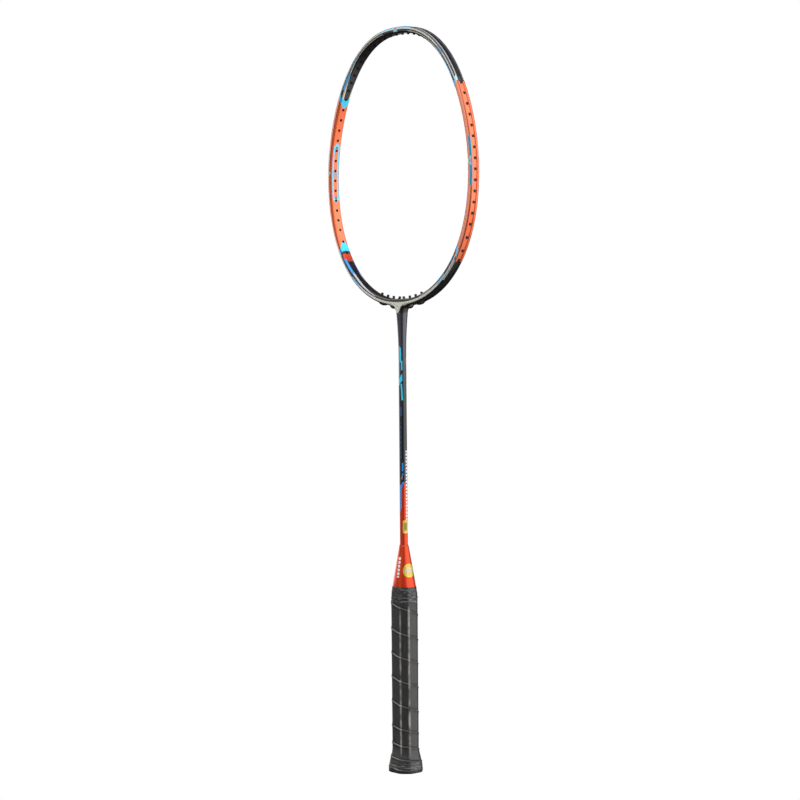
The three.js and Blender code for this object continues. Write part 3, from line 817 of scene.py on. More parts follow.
def build_rubber():
    """Polyurethane wrap: satin, with fine grain and faint marks, and painted highlights on its
    corners, below its seam and on the creases at its ends.
    """
    finish = Finish("wrap_polyurethane", srgb(37, 36, 36), 0.0, 0.5)
    x, y, z = finish.place()
    streaks = finish.noise(900.0, 3.0, stretch=(1, 1, 0.12))
    grain = finish.noise(2600.0, 2.0)
    patches = finish.noise(120.0, 2.0)
    finish.roughness = streaks * 0.16 + 0.32
    finish.layer(ramp(streaks, 0.4, 0.75) * 0.7, srgb(60, 59, 60))
    turn = x.size().math("ARCTAN2", y.size()) * math.degrees(1)
    straight = ramp(z, 14.0, 22.0) * ramp(z, 153.0, 148.0)
    # Painted highlight: paler, broken lines down the two corners that face the front right and the
    # back left.
    for corner in (28.8, 67.1):
        edge = turn.near(corner, 2.0, 6.0) * (x * y < 0.0) * straight
        finish.layer(edge * ramp(patches, 0.3, 0.62) * 0.9, RUBBER_HIGHLIGHT)
    below_seam, _ = finish.painted()
    # Painted highlight: a paler line just below the seam, strongest on the broad faces.
    lap = below_seam.near(1.0, 0.3, 0.8) * ramp(patches, 0.34, 0.6)
    finish.layer(lap * (ramp(turn, 34.0, 26.0) * 0.5 + 0.08), RUBBER_HIGHLIGHT)
    ends = ramp(z, 150.0, 156.0) | ramp(z, 16.0, 9.0)
    creased = ends * finish.noise(190.0, 3.0, stretch=(1, 1, 3.2))
    # Painted highlight on the crests of the creases near the two ends.
    finish.layer(ramp(creased, 0.5, 0.68) * 0.6, RUBBER_HIGHLIGHT)
    finish.bump(creased, 0.8, 0.7)
    finish.bump(grain, 0.05, 0.25)
    finish.bump(streaks, 0.06, 0.3)
    return finish.done()


def build_vinyl():
    """Black tape whose folds catch the light, with a painted highlight of paler grey on their crests.
    """
    finish = Finish("tape_vinyl", srgb(38, 38, 40), 0.0, 0.3)
    folds = finish.noise(260.0, 3.0, stretch=(1, 1, 2.2))
    # Painted highlight: paler grey on the crests of the folds.
    finish.layer(ramp(folds, 0.5, 0.68), srgb(92, 92, 92))
    finish.bump(folds, 0.9, 0.9)
    return finish.done()


def build_seal():
    """A plain gold foil seal with a paler bar across it."""
    finish = Finish("gold_foil", srgb(186, 158, 44), 0.5, 0.4, coat=0.2)
    p, q = finish.painted()
    finish.layer(ramp(finish.noise(900.0, 2.0), 0.42, 0.62), srgb(206, 186, 112))
    away = (p * p + q * q).math("SQRT")
    finish.layer(away > 5.2, srgb(206, 186, 48), 0.5)
    finish.layer((q.size() < 1.5) * (p.size() < 4.4), srgb(186, 170, 160), 0.4)
    finish.layer(away.between(2.0, 2.6) * (q > 1.8), srgb(206, 190, 112), 0.5)
    finish.bump(finish.noise(1500.0, 2.0), 0.03, 0.4)
    return finish.done()


def build_label():
    """A plain yellow label with a darker panel."""
    finish = Finish("yellow_label", srgb(214, 188, 66), 0.1, 0.4, coat=0.3)
    p, q = finish.painted()
    finish.layer((p.size() < 1.9) * q.between(-4.0, 4.4), srgb(186, 152, 46))
    finish.layer((p.size() < 1.2) * q.between(-2.6, 3.4), srgb(128, 104, 36))
    finish.bump(finish.noise(1200.0, 2.0), 0.02, 0.3)
    return finish.done()


def build_wood():
    finish = Finish("pale_wood", srgb(196, 160, 108), 0.0, 0.6)
    rings = finish.noise(240.0, 4.0, stretch=(1, 1, 0.05))
    finish.layer(rings, srgb(150, 106, 62))
    finish.bump(rings, 0.08, 0.4)
    return finish.done()


def build_plain(name, colour, roughness, scale, depth, uneven=0.0, metallic=0.0, detail=2.0,
                stretch=(1, 1, 1)):
    """One colour with fine grain, which may make the roughness uneven too."""
    finish = Finish(name, colour, metallic, roughness)
    grain = finish.noise(scale, detail, stretch)
    if uneven:
        finish.roughness = grain * uneven + roughness
    finish.bump(grain, depth, 0.3)
    return finish.done()


MATERIALS = {
    "head": build_head_paint(),
    "carbon": build_plain("raw_carbon", srgb(26, 26, 28), 0.6, 900.0, 0.05),
    "nylon": build_plain("black_nylon", srgb(15, 16, 18), 0.35, 1500.0, 0.03, 0.2),
    "shaft": build_shaft_paint(),
    "cone": build_cone_paint(),
    "rubber": build_rubber(),
    "vinyl": build_vinyl(),
    "plastic": build_plain("cap_plastic", srgb(22, 22, 24), 0.4, 1800.0, 0.03, 0.2),
    "wood": build_wood(),
    "resin": build_plain("joint_resin", srgb(44, 44, 46), 0.5, 700.0, 0.05, detail=3.0),
    "steel": build_plain("staple_steel", srgb(168, 168, 170), 0.3, 2200.0, 0.02, metallic=1.0,
                         stretch=(0.2, 1, 1)),
    "seal": build_seal(),
    "label": build_label(),
}


# ---- head pieces -------------------------------------------------------------------------------
def smooth_least(a, b, reach):
    """The lesser of two distances, with the join between them filleted."""
    near = np.maximum(reach - np.abs(a - b), 0) / reach
    return np.minimum(a, b) - near * near * reach / 4


class OutlinePlace:
    """Finds the distance along the outline and the offset from it of any point."""

    def __init__(self, low, high, step=0.25):
        self.distance = np.arange(low, high, step)
        self.point, self.inward = outline(self.distance)
        self.tree = KDTree(len(self.distance))
        for i, point in enumerate(self.point):
            self.tree.insert((point[0], 0, point[2]), i)
        self.tree.balance()

    def find(self, points):
        nearest = np.array([self.tree.find((x, 0, z))[1] for x, z in points[:, (0, 2)]])
        away = points - self.point[nearest]
        inward = self.inward[nearest]
        along = away[:, 0] * -inward[:, 2] + away[:, 2] * inward[:, 0]
        out = -(away[:, 0] * inward[:, 0] + away[:, 2] * inward[:, 2])
        return self.distance[nearest] + along, out


def ellipsoid_distance(points, radii):
    first = np.linalg.norm(points / radii, axis=-1)
    second = np.linalg.norm(points / np.square(radii), axis=-1)
    return first * (first - 1) / np.maximum(second, 1e-6)


def throat_distance(points, distance, out):
    """How far points lie outside the moulded throat, negative inside.

    distance and out are their places along the outline and outward from it."""
    x, y, z = points.T
    rise = np.clip((z - STUB_BOTTOM_Z) / (HEAD_BOTTOM_Z + 1 - STUB_BOTTOM_Z), 0, 1)
    rise = rise * rise * (3 - 2 * rise)
    depth = STUB_RADIUS + (TUBE_HALF_DEPTH - STUB_RADIUS) * rise
    corner = STUB_RADIUS + (TUBE_CORNER - STUB_RADIUS) * rise
    tube = np.abs(out + TUBE_THICKNESS / 2) - TUBE_THICKNESS / 2
    stem = np.maximum(np.abs(x) - STUB_RADIUS, z - HEAD_BOTTOM_Z - 3)
    side = smooth_least(tube, stem, THROAT_BLEND) + corner
    front = np.abs(y) - depth + corner
    solid = np.hypot(np.maximum(side, 0), np.maximum(front, 0)) - corner
    solid = solid + np.minimum(np.maximum(side, front), 0)
    groove = np.maximum(np.abs(y) - GROOVE_HALF_WIDTH - GROOVE_SLOPE / 2, -GROOVE_DEPTH - out)
    solid = np.maximum(solid, -np.maximum(groove, GROOVE_END_X - np.abs(x)))
    for reach, length, height in EARS:
        centred = np.stack([HALF_LENGTH - np.abs(distance) - reach, y, out], -1)
        lump = ellipsoid_distance(centred, np.array([length / 2, TUBE_HALF_DEPTH - 1, height]))
        solid = smooth_least(solid, lump, EAR_BLEND)
    return np.maximum(solid, STUB_BOTTOM_Z - z)


def net_points(value, low, cell):
    """One point in each grid cell that the zero surface crosses, and the cells' numbers."""
    inside = value < 0
    total = np.zeros([n - 1 for n in value.shape])
    centre = np.zeros((*total.shape, 3))

    def corner(array, c):
        return array[tuple(slice(o, o + n) for o, n in zip(c, total.shape))]

    for a in np.ndindex(2, 2, 2):
        for axis in range(3):
            if a[axis]:
                continue
            b = tuple(o + (i == axis) for i, o in enumerate(a))
            va, vb = corner(value, a), corner(value, b)
            crosses = corner(inside, a) != corner(inside, b)
            share = np.where(crosses, va / np.where(crosses, va - vb, 1), 0)
            place = [np.full(total.shape, float(o)) for o in a]
            place[axis] = place[axis] + share
            centre += np.stack(place, -1) * crosses[..., None]
            total += crosses
    active = total > 0
    number = np.full(total.shape, -1)
    number[active] = np.arange(active.sum())
    return low + cell * (np.argwhere(active) + centre[active] / total[active][:, None]), number


def net_faces(value, number):
    """A quad round each grid edge that the zero surface crosses."""
    inside = value < 0
    faces = []
    for axis in range(3):
        one, two = [step for i, step in enumerate(np.eye(3, dtype=int)) if i != axis]
        start = np.array([int(i != axis) for i in range(3)])
        size = np.array(value.shape) - 1 - start
        here = tuple(slice(a, a + n) for a, n in zip(start, size))
        beyond = tuple(slice(a + (i == axis), a + (i == axis) + n)
                       for i, (a, n) in enumerate(zip(start, size)))
        at = np.argwhere(inside[here] != inside[beyond]) + start
        ring = [at, at - one, at - one - two, at - two]
        quads = np.stack([number[tuple(r.T)] for r in ring], -1)
        turned = inside[tuple(at.T)] ^ (axis == 1)
        quads[turned] = quads[turned][:, ::-1]
        faces.append(quads)
    return np.vstack(faces)


def throat_surface():
    """The moulded throat: stub, tube ends and ears flowing into each other."""
    place = OutlinePlace(HALF_LENGTH - THROAT_SPAN, HALF_LENGTH + THROAT_SPAN)
    place.distance = place.distance - 2 * HALF_LENGTH * (place.distance > HALF_LENGTH)
    low = np.array([-THROAT_BOX[0], -THROAT_BOX[1], STUB_BOTTOM_Z - 0.75])
    high = np.array([THROAT_BOX[0], THROAT_BOX[1], HEAD_BOTTOM_Z + THROAT_BOX[2]])
    axes = [np.arange(a, b, THROAT_CELL) for a, b in zip(low, high)]
    flat = np.stack(np.meshgrid(axes[0], [0.0], axes[2], indexing="ij"), -1)
    known = [part.reshape(flat.shape[:3]) for part in place.find(flat.reshape(-1, 3))]
    grid = np.stack(np.meshgrid(*axes, indexing="ij"), -1)
    shape = grid.shape[:3]
    known = [np.broadcast_to(part, shape).ravel() for part in known]
    value = throat_distance(grid.reshape(-1, 3), *known).reshape(shape)
    points, number = net_points(value, low, THROAT_CELL)
    return settle(points, place), net_faces(value, number)


def settle(points, place, nudge=0.01, limit=0.15):
    """Moves points onto the throat's surface, down its slope."""
    for _ in range(2):
        here = throat_distance(points, *place.find(points))
        slope = np.zeros_like(points)
        for axis in range(3):
            nudged = points.copy()
            nudged[:, axis] += nudge
            slope[:, axis] = (throat_distance(nudged, *place.find(nudged)) - here) / nudge
        steep = np.maximum((slope**2).sum(1, keepdims=True), 0.3)
        points = points - np.clip(here[:, None] * slope / steep, -limit, limit)
    return points


def add_surface(work, points, faces):
    made = [work.verts.new(p) for p in points]
    for face in faces:
        work.faces.new([made[i] for i in face])
    return made


def head_skin():
    """The head's outside as one closed surface: the swept tube joined to the moulded throat."""
    work = bmesh.new()
    points, faces = throat_surface()
    add_surface(work, points, faces.tolist())
    for side in (1, -1):
        point, inward = outline(side * (HALF_LENGTH - THROAT_REACH))
        up = Vector((inward[0][2] * -side, 0, inward[0][0] * side)) * -1
        bmesh.ops.bisect_plane(work, geom=[*work.verts, *work.edges, *work.faces], dist=1e-4,
                               plane_co=point[0], plane_no=up, clear_outer=True)
    end = HALF_LENGTH - THROAT_REACH - 0.4
    distance = np.linspace(-end, end, 2 * round(end / HOOP_STEP) + 1)
    points, faces = skin(sweep(SECTION, distance), wrap_rows=False)
    add_surface(work, points, faces.tolist())
    bmesh.ops.remove_doubles(work, verts=work.verts, dist=0.002)
    for side in (1, -1):
        rim = [e for e in work.edges if e.is_boundary and e.verts[0].co.x * side > 0]
        bmesh.ops.bridge_loops(work, edges=rim)
    bmesh.ops.recalc_face_normals(work, faces=work.faces)
    work.verts.index_update()
    points = np.array([v.co for v in work.verts])
    faces = [[v.index for v in f.verts] for f in work.faces]
    work.free()
    return points, faces


def add_head_coords(mesh):
    """Stores the paint coordinates s and v of the hoop."""
    points = vertices_mm(mesh)
    distance, out = OutlinePlace(0, 2 * HALF_LENGTH).find(points)
    dense = np.linspace(0, SPAN_END, 280)
    dense_out, dense_y = (np.interp(dense, HALF_SPAN, HALF_SECTION[:, i]) for i in (0, 1))
    section = KDTree(len(dense))
    for i, place in enumerate(zip(dense_out, dense_y)):
        section.insert((*place, 0), i)
    section.balance()
    nearest = [section.find((a, abs(b), 0))[1] for a, b in zip(out, points[:, 1])]
    store_paint_coords(mesh, np.minimum(distance, 2 * HALF_LENGTH - distance), dense[nearest])


def cut_carbon(body, points, faces):
    combine(body, make_object("cutter", points, faces, MATERIALS["carbon"]), "DIFFERENCE")


def head_frame():
    body = make_object("painted_head", *head_skin(), MATERIALS["head"])
    stations = around(360) * HALF_LENGTH / math.pi
    cut_carbon(body, *skin(sweep(cavity_section(), stations)))
    low, high = STUB_BOTTOM_Z - 1, HEAD_BOTTOM_Z + 3
    bore = lathe_points([(0, low), (SHAFT_BORE, low), (SHAFT_BORE, high), (0, high)], 32)
    cut_carbon(body, *skin(bore, wrap_rows=False))
    drills = [rod_mesh(hole, HOLE_RADIUS, -8, TUBE_THICKNESS + 1) for hole in ALL_HOLES]
    # The two drills beside the middle cross each other, so each is cut on its own
    tilted = [drill for drill, hole in zip(drills, ALL_HOLES) if hole.tilted]
    plain = [drill for drill, hole in zip(drills, ALL_HOLES) if not hole.tilted]
    for group in (plain, tilted[:1], tilted[1:]):
        cut_carbon(body, *merged(group))
    add_head_coords(body.data)
    return finish_piece(body, "frame_paint", "head_frame", degrees=35)


def grommet(name, node, hole, flanged):
    length = TUBE_THICKNESS + hole.tip - SEAT_DEPTH
    outside = [(BARREL_RADIUS, 0.0)]
    if flanged:
        outside = [(FLANGE_RADIUS, 0.0), (FLANGE_RADIUS, FLANGE_THICKNESS),
                   (BARREL_RADIUS, FLANGE_THICKNESS)]
    profile = [(BORE_RADIUS, 0.0), *outside, (BARREL_RADIUS, length), (BORE_RADIUS, length)]
    rings = lathe_points(rounded(profile, GROMMET_ROUNDING), 24)
    rings[..., 2] += SEAT_DEPTH
    points, faces = skin(rings)
    obj = make_object(name, hole.place(points), faces, MATERIALS["nylon"])
    return finish_piece(obj, "black_nylon", node)


def closed_column(rings):
    """Rings with a centre point added below and above, as closed (points, faces)."""
    columns = rings.shape[1]
    low = np.repeat(rings[:1].mean(1, keepdims=True), columns, 1)
    high = np.repeat(rings[-1:].mean(1, keepdims=True), columns, 1)
    return skin(np.concatenate([low, rings, high]), wrap_rows=False)


def strip(name, node, holes):
    """A strip in the groove with a barrel at each hole."""
    nylon = MATERIALS["nylon"]
    along = [hole.side * hole.distance for hole in holes]
    low = GROOVE_DEPTH - STRIP_BEDDING - STRIP_THICKNESS
    wide, high = STRIP_HALF_WIDTH, low + STRIP_THICKNESS
    section = rounded([(-low, -wide), (-low, wide), (-high, wide), (-high, -wide)],
                      STRIP_BEDDING, 2)
    stations = np.linspace(min(along) - STRIP_OVERHANG, max(along) + STRIP_OVERHANG, 12 * len(holes))
    body = make_object(name, *closed_column(sweep(section, stations)), nylon)
    tips = [TUBE_THICKNESS + hole.tip for hole in holes]
    barrels = [rod_mesh(hole, BARREL_RADIUS, low + 0.1, tip, 24) for hole, tip in zip(holes, tips)]
    combine(body, make_object("barrels", *merged(barrels), nylon), "UNION")
    bores = [rod_mesh(hole, BORE_RADIUS, low - 1, tip + 1) for hole, tip in zip(holes, tips)]
    combine(body, make_object("bores", *merged(bores), nylon), "DIFFERENCE")
    return finish_piece(body, "black_nylon", node)


def grommets():
    top = [hole for side in HOLES.values() for hole in side["top"][:TOP_STRIP_BARRELS]]
    strip("top_strip", "top_grommet_strip", top)
    for label, groups in HOLES.items():
        strip(f"shoulder_strip_{label}", f"shoulder_grommet_strip_{label}",
              groups["top"][TOP_STRIP_BARRELS:])
        strip(f"lower_strip_{label}", f"lower_grommet_strip_{label}", groups["lower"])
        for i, hole in enumerate(groups["cross"]):
            number = f"{i + 1:02d}"
            grommet(f"side_grommet_{label}_{number}", f"grommet_{label}_{number}", hole, True)
        for i, hole in enumerate(groups["throat"]):
            name = f"throat_grommet_{label}_{i + 1}"
            grommet(f"long_grommet_{label}_{i + 1}", name, hole, False)


# ---- shaft and cone ----------------------------------------------------------------------------
def shaft():
    low, high = SHAFT_LOW[2], SHAFT_HIGH[2] + SHAFT_SHOULDER
    flare = np.linspace(SHAFT_FLARE_Z, high, 25)
    z = np.concatenate([np.linspace(low, SHAFT_FLARE_Z, 60), flare[1:]])
    share = np.clip((z - SHAFT_FLARE_Z) / (high - SHAFT_FLARE_Z), 0, 1)
    radius = SHAFT_RADIUS + (STUB_RADIUS - SHAFT_RADIUS) * share**2
    profile = [(SHAFT_BORE, low), *zip(radius, z), (SHAFT_BORE, high)]
    obj = make_object("painted_shaft", *skin(lathe_points(profile, 64)), MATERIALS["shaft"])
    return finish_piece(obj, "shaft_paint", "shaft")


def octagon_outline(count, radius=2.0):
    """A rounded octagon of unit scale as count points, with outward normals."""
    quarter = [(CORNER_X, -HALF_Y), (HALF_X, -CORNER_Y)]
    corners = quarter + [(x, -y) for x, y in quarter[::-1]]
    corners += [(-x, -y) for x, y in corners]
    dense = rounded(corners, radius, 10)
    dense = np.vstack([dense, dense[:1]])
    span = lengths(dense)
    azimuth = np.unwrap(np.arctan2(dense[:, 0], -dense[:, 1]))
    even = np.interp(azimuth[0] + around(count), azimuth, span)
    place = np.sort(0.4 * even + 0.6 * np.arange(count) * span[-1] / count)
    points = np.stack([np.interp(place, span, dense[:, i]) for i in (0, 1)], -1)
    tangent = np.roll(points, -1, 0) - np.roll(points, 1, 0)
    normal = np.stack([tangent[:, 1], -tangent[:, 0]], -1)
    return points, normal / np.linalg.norm(normal, axis=1, keepdims=True)


def octagon_reach(azimuth, scale, sharpness=40):
    """How far out the octagon of a scale lies in each direction, with softened corners."""
    bevel = (HALF_X + CORNER_Y) / math.sqrt(2)
    flats = [(0, HALF_Y), (90, HALF_X), (180, HALF_Y), (270, HALF_X)]
    flats += [(angle, bevel) for angle in (45, 135, 225, 315)]
    total = np.zeros_like(azimuth)
    for angle, distance in flats:
        lean = np.maximum(np.cos(azimuth - math.radians(angle)), 1e-6)
        total += (lean / (distance * scale)) ** sharpness
    return total ** (-1 / sharpness)


def cone_radius(z, azimuth):
    """The cone's outside: round at the top, eased into the handle's octagon at the base."""
    z = np.asarray(z, float)
    share = (z - CONE_SHOULDER_Z) / (CONE_HIGH[2] - 1 - CONE_SHOULDER_Z)
    round_radius = CONE_BASE_RADIUS + (CONE_TOP_RADIUS + 0.3 - CONE_BASE_RADIUS) * share
    round_radius = np.minimum(round_radius, CONE_BASE_RADIUS)
    flats = octagon_reach(azimuth, CONE_FLATS_SCALE)
    return (round_radius**-24.0 + flats**-24.0) ** (-1 / 24)


def cone_cap():
    azimuth = around(96)
    bottom, top = CONE_LOW[2], CONE_HIGH[2]
    z = np.concatenate([[bottom], np.linspace(bottom + 2, top - 1.2, 48)])[:, None]
    radius = cone_radius(z, azimuth)
    outside = np.stack([radius * np.sin(azimuth), -radius * np.cos(azimuth), z + 0 * azimuth], -1)
    neck, wide = CONE_SOCKET_RADII
    inside = [(CONE_TOP_RADIUS + 0.26, top - 0.8), (CONE_TOP_RADIUS + 0.1, top - 0.2),
              (CONE_TOP_RADIUS - 0.05, top), (CONE_BORE, top), (CONE_BORE, top - 6),
              (neck, CONE_SOCKET_TOP_Z), (wide, CONE_SOCKET_TOP_Z), (wide, bottom)]
    rings = np.concatenate([outside, lathe_points(inside, len(azimuth))])
    obj = make_object("painted_cone", *skin(rings), MATERIALS["cone"])
    return finish_piece(obj, "cone_paint", "cone_cap")


# ---- handle ------------------------------------------------------------------------------------
def grip_scale(z):
    """The octagon's scale at a height: 1, and more where the handle flares at the butt."""
    share = np.clip((FLARE_HIGH_Z - np.asarray(z, float)) / (FLARE_HIGH_Z - FLARE_LOW_Z), 0, 1)
    return 1 + (FLARE_SCALE - 1) * (1 - np.cos(math.pi * share)) / 2


def wrap_relief(below_seam, pitch):
    """The wrap's height over its mean surface, by distances below the seam and between turns."""
    crease = -0.42 * np.exp(-((below_seam / 0.32) ** 2))
    lap = 0.34 * np.exp(-(((below_seam - 0.95) / 0.75) ** 2))
    swell = 0.16 * np.exp(-below_seam / 6.0)
    tail = -0.42 * np.exp(-(((pitch - below_seam) / 0.32) ** 2))
    return crease + lap + swell + tail - 0.3


def wrap_outside():
    """The outside of the wrap: a column of points at each azimuth, in rows along its seam."""
    low, high = WRAP_LOW[2], WRAP_HIGH[2]
    section, normal = octagon_outline(WRAP_COLUMNS)
    azimuth = np.unwrap(np.arctan2(section[:, 0], -section[:, 1]))
    fine = np.array(ROWS_BELOW_SEAM) / TURN_WIDTH
    turns = np.arange(-1, len(SEAM_HEIGHTS) - 2)
    row = (turns[:, None] + fine).ravel()
    place = row + (azimuth[:, None] - SEAM_START) / (2 * math.pi)
    z = np.interp(place, np.arange(len(SEAM_HEIGHTS)), SEAM_HEIGHTS)
    pitch = np.clip(-np.gradient(z, row, axis=1), 6, 30)
    relief = wrap_relief(np.tile(fine, len(turns)) * pitch, pitch)
    z = np.clip(z, low, high)
    relief = relief * np.minimum(z - low, 1.0)
    x, y = (section[:, i:i + 1] * grip_scale(z) + normal[:, i:i + 1] * relief for i in (0, 1))
    return np.stack([x, y, z], -1)


def wrap_inside():
    section, _ = octagon_outline(WRAP_COLUMNS)
    z = np.concatenate([[WRAP_HIGH[2]], np.linspace(FLARE_HIGH_Z, WRAP_LOW[2], 16)])
    scale = grip_scale(z) - WRAP_INSET
    x, y = (np.outer(section[:, i], scale) for i in (0, 1))
    return np.stack([x, y, np.tile(z, (len(section), 1))], -1)


def quads_between(first, second):
    """Quads that join two grids of point numbers, row to row."""
    corners = [first[..., :-1], first[..., 1:], second[..., 1:], second[..., :-1]]
    return np.stack(corners, -1).reshape(-1, 4).tolist()


def wrap_faces(columns, rows, inner_rows):
    """Quads over the outside, the inside and the two ends of the wrap.

    The seam climbs a turn at a time, so the last column meets the first one a turn further on."""
    outer = np.arange(columns * rows).reshape(columns, rows)
    inner = outer.size + np.arange(columns * inner_rows).reshape(columns, inner_rows)
    faces = quads_between(outer[:-1], outer[1:])
    turn = len(ROWS_BELOW_SEAM)
    faces += quads_between(outer[-1, :-turn], outer[0, turn:])
    after = np.roll(inner, -1, 0)
    faces += quads_between(after, inner)
    for end in (0, -1):
        rim = np.stack([outer[:, end], inner[:, end]], -1)
        after = np.roll(rim, -1, 0)
        faces += quads_between(rim, after) if end else quads_between(after, rim)
    return faces


def grip_wrap():
    outer, inner = wrap_outside(), wrap_inside()
    points = np.vstack([outer.reshape(-1, 3), inner.reshape(-1, 3)])
    faces = wrap_faces(*outer.shape[:2], inner.shape[1])
    obj = make_object("spiral_wrap", points, faces, MATERIALS["rubber"])
    add_seam_coords(obj.data)
    return finish_piece(obj, "wrap_foam", "grip_wrap", degrees=50)


def add_seam_coords(mesh):
    """Stores how far below the wrap's seam each vertex lies."""
    x, y, z = vertices_mm(mesh).T
    turn = np.interp(-z, -np.array(SEAM_HEIGHTS), np.arange(len(SEAM_HEIGHTS)))
    turn = turn - (np.arctan2(x, -y) - SEAM_START) / (2 * math.pi)
    store_paint_coords(mesh, np.mod(turn + 0.002, 1) * TURN_WIDTH, 0 * z)


def loft_rings(section, stations):
    return np.array([
        np.column_stack([section * scale, np.full(len(section), z)]) for z, scale in stations
    ])


def butt_cap():
    """A cap with a rolled rim and a skirt up inside the wrap."""
    section, _ = octagon_outline(144, 2.6)
    rim = FLARE_SCALE
    stations = [
        (0.45, 0.0), (0.45, 0.62), (0.2, 0.66), (0.0, 0.7), (0.0, rim - 0.075), (0.12, rim - 0.04),
        (0.4, rim - 0.012), (0.8, rim), (2.1, rim), (2.25, rim - 0.02), (2.3, rim - 0.05),
        (2.35, rim - 0.12), *[(z, grip_scale(z) - 0.12) for z in (6.0, 10.0, 14.0)],
        (14.0, 0.85), (3.2, 0.85), (3.2, 0.0),
    ]
    points, faces = skin(loft_rings(section, stations), wrap_rows=False)
    obj = make_object("moulded_cap", points, faces, MATERIALS["plastic"])
    return finish_piece(obj, "cap_plastic", "butt_cap", degrees=30)


# The tape's folds: azimuth in radians, height as a share, slope, depth, half width and reach
TAPE_FOLDS = (
    *[(math.radians(96), level, slope * -0.28, depth, 0.07, 0.5) for slope, level, depth in (
        (1.6, 0.75, 0.32), (2.6, 0.5, 0.3), (0.6, 0.3, 0.26), (-0.9, 0.86, 0.2))],
    *[(start, level, 0.35, 0.2, 0.06, 0.45) for start, level in (
        (-0.5, 0.25), (-0.45, 0.5), (2.6, 0.4), (3.4, 0.6))],
)


def tape_relief(azimuth, share):
    """The tape's height over its mean surface: folds that fan out from where it is pulled."""
    relief = 0.1 * np.sin(azimuth * 3 + share * 5) * np.sin(share * math.pi) - 0.25
    for start, level, slope, depth, width, reach in TAPE_FOLDS:
        away = np.angle(np.exp(1j * (azimuth - start)))
        fold = share - level + slope * away
        relief = relief + depth * np.exp(-((fold / width) ** 2)) * np.exp(-((away / reach) ** 2))
    return relief


def finishing_tape():
    section, normal = octagon_outline(192, 2.4)
    azimuth = np.arctan2(section[:, 0], -section[:, 1])
    low, high = TAPE_LOW[2], TAPE_HIGH[2]
    z = np.concatenate([[low + 0.02], np.linspace(low + 0.3, high - 0.3, 34), [high - 0.05]])
    z = z[:, None]
    share = (z - low) / (high - low)
    scale = 1.0 - WRAP_INSET * share**1.3
    rim = np.minimum(1.0, np.minimum(z - low, high - z) / 0.6 + 0.3)
    relief = tape_relief(azimuth, share) * rim
    x, y = (section[:, i] * scale + normal[:, i] * relief for i in (0, 1))
    outside = np.stack([x, y, z + 0 * x], -1)
    inside = loft_rings(section, [(high, TAPE_BORE), (low, TAPE_BORE)])
    points, faces = skin(np.concatenate([outside, inside]))
    obj = make_object("end_tape", points, faces, MATERIALS["vinyl"])
    return finish_piece(obj, "tape_vinyl", "finishing_tape", degrees=60)


# ---- stickers ----------------------------------------------------------------------------------
def sticker(name, material, azimuth, height, radius_at, edge_at, rings, columns):
    """A thin patch round an azimuth and height on a surface of radius_at(z, turn).

    edge_at gives its reach from the middle in each direction across it."""
    angle = around(columns)
    edge = edge_at(angle)
    share = np.linspace(0, 1, rings + 1)[:, None]
    across, up = share * edge * np.cos(angle), share * edge * np.sin(angle)
    middle = float(radius_at(height, np.array([azimuth]))[0])
    turn, z = azimuth + across / middle, height + up

    def layer(lift):
        reach = radius_at(z, turn) + lift
        return np.stack([reach * np.sin(turn), -reach * np.cos(turn), z], -1)

    layers = np.concatenate([layer(STICKER_THICKNESS), layer(STICKER_GAP)[::-1]])
    obj = make_object(name, *skin(layers, wrap_rows=False), MATERIALS[material])
    x, y, z = vertices_mm(obj.data).T
    store_paint_coords(obj.data, (np.arctan2(x, -y) - azimuth) * middle, z - height)
    return finish_piece(obj, "tape_vinyl")


def gold_seal():
    """A round scalloped seal on the cone."""
    def edge_at(angle):
        return SEAL_RADIUS * (1 + 0.035 * np.cos(SEAL_SCALLOPS * angle))

    return sticker("gold_seal", "seal", SEAL_AZIMUTH, SEAL_Z, cone_radius, edge_at, 10, 216)


def yellow_label():
    """A small oblong label on the lower shaft."""
    def edge_at(angle):
        wide = np.abs(np.cos(angle)) / LABEL_HALF_WIDTH
        tall = np.abs(np.sin(angle)) / LABEL_HALF_HEIGHT
        return (wide**10 + tall**10) ** (-1 / 10)

    def radius_at(z, turn):
        return SHAFT_RADIUS + 0 * turn

    return sticker("yellow_label", "label", LABEL_AZIMUTH, LABEL_Z, radius_at, edge_at, 8, 96)


def restyle(node, material):
    NODES[node].data.materials.clear()
    NODES[node].data.materials.append(MATERIALS[material])


# ---- scene -------------------------------------------------------------------------------------
CAMERA_AZIMUTH = math.radians(49.075)
CAMERA_PITCH = math.radians(2.152)
CAMERA_ROLL = math.radians(-0.493)
CAMERA_DISTANCE = 1938.0  # from the racket's axis
CAMERA_Z = 411.65
CAMERA_LENS = 96.2
CAMERA_SENSOR = 36.0
CAMERA_SHIFT = -0.00335

# Strengths of the soft lights
RIGHT_LIGHT = 2.2
LEFT_LIGHT = 2.3
TOP_LIGHT = 2.2
FRONT_LIGHT = 0.55
ROOM_LIGHT = 0.06


def add_camera():
    data = bpy.data.cameras.new("camera")
    data.lens = CAMERA_LENS
    data.sensor_width = CAMERA_SENSOR
    data.shift_x = CAMERA_SHIFT
    camera = bpy.data.objects.new("camera", data)
    bpy.context.scene.collection.objects.link(camera)
    across, ahead = math.sin(CAMERA_AZIMUTH), -math.cos(CAMERA_AZIMUTH)
    camera.location = Vector((across, ahead, 0)) * CAMERA_DISTANCE * MM
    camera.location.z = CAMERA_Z * MM
    level = math.cos(CAMERA_PITCH)
    forward = Vector((-across * level, -ahead * level, -math.sin(CAMERA_PITCH)))
    roll = Quaternion((0, 0, 1), CAMERA_ROLL)
    camera.rotation_mode = "QUATERNION"
    camera.rotation_quaternion = forward.to_track_quat("-Z", "Y") @ roll
    bpy.context.scene.camera = camera


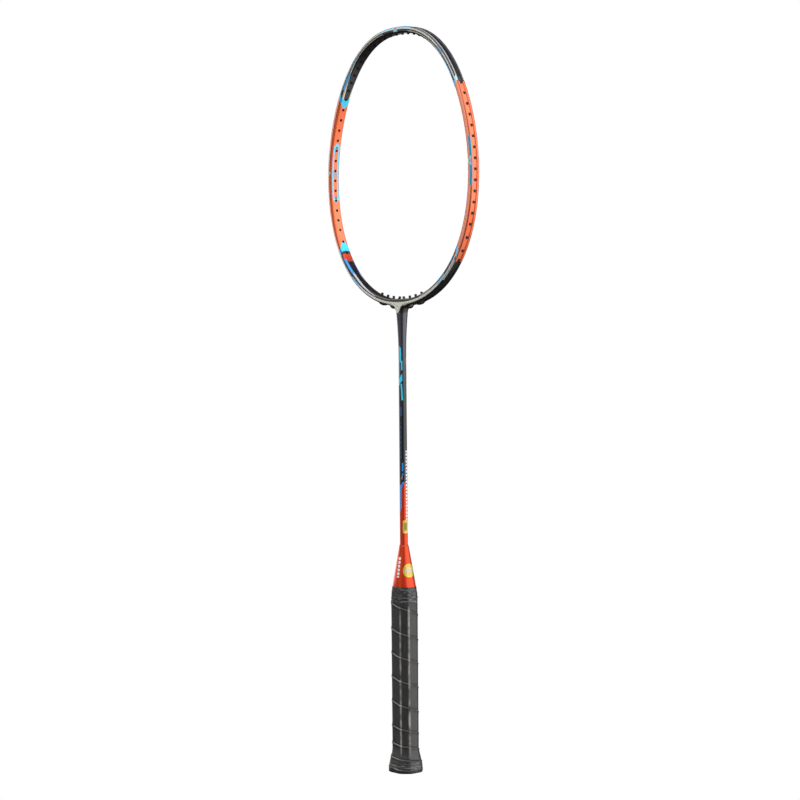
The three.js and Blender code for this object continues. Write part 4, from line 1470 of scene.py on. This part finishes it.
def add_world():
    """White to the camera; for everything else a dim room with soft lights.

    Each light fades in and out over a range of turn, the azimuth of a direction in degrees, and
    of its x, y or z."""
    world = bpy.data.worlds.new("studio")
    bpy.context.scene.world = world
    world.use_nodes = True
    tree = world.node_tree
    background = tree.nodes["Background"]
    background.inputs["Color"].default_value = (1, 1, 1, 1)
    split = tree.nodes.new("ShaderNodeSeparateXYZ")
    tree.links.new(tree.nodes.new("ShaderNodeTexCoord").outputs["Generated"], split.inputs[0])
    x, y, z = (Value(tree, split.outputs[i]) for i in range(3))
    turn = x.math("ARCTAN2", y * -1.0) * math.degrees(1)
    right = ramp(turn, 60, 84) * ramp(turn, 168, 148) * ramp(z, 0.8, 0.6)
    right = right * (ramp(z, -0.3, -0.2) * 0.55 + ramp(z, -0.95, -0.8) * 0.45)
    left = ramp(turn, -43, -56) * ramp(turn, -150, -130) * ramp(z, -0.14, -0.01) * ramp(z, 0.17, 0.07)
    top = ramp(z, 0.35, 0.75) * ramp(y, 0.35, -0.05)
    front = ramp(turn, -40, -32) * ramp(turn, 24, 14) * ramp(z, -0.4, -0.3) * ramp(z, 0.6, 0.45)
    light = right * RIGHT_LIGHT + left * LEFT_LIGHT + top * TOP_LIGHT + front * FRONT_LIGHT
    seen = Value(tree, tree.nodes.new("ShaderNodeLightPath").outputs["Is Camera Ray"])
    total = seen + seen.flip() * (light + ROOM_LIGHT)
    tree.links.new(total.socket, background.inputs["Strength"])


def add_floor(size=6.0):
    """A white floor, clear to everything but the camera, so that light comes from below too."""
    mesh = bpy.data.meshes.new("floor")
    corners = [(-size, -size, 0), (size, -size, 0), (size, size, 0), (-size, size, 0)]
    mesh.from_pydata(corners, [], [[0, 1, 2, 3]])
    floor = bpy.data.objects.new("floor", mesh)
    bpy.context.scene.collection.objects.link(floor)
    material = bpy.data.materials.new("pale_floor")
    material.use_nodes = True
    tree = material.node_tree
    glow = tree.nodes.new("ShaderNodeEmission")
    path = tree.nodes.new("ShaderNodeLightPath")
    mix = tree.nodes.new("ShaderNodeMixShader")
    clear = tree.nodes.new("ShaderNodeBsdfTransparent")
    tree.links.new(path.outputs["Is Camera Ray"], mix.inputs[0])
    tree.links.new(clear.outputs[0], mix.inputs[1])
    tree.links.new(glow.outputs[0], mix.inputs[2])
    tree.links.new(mix.outputs[0], tree.nodes["Material Output"].inputs["Surface"])
    mesh.materials.append(material)


add_camera()
add_world()
add_floor()
bpy.context.scene.view_settings.view_transform = "Standard"

head_frame()
grommets()
shaft()
cone_cap()
grip_wrap()
butt_cap()
finishing_tape()
gold_seal()
yellow_label()
restyle("throat_joint", "resin")
restyle("handle_core", "wood")
restyle("butt_staple_front", "steel")
restyle("butt_staple_back", "steel")
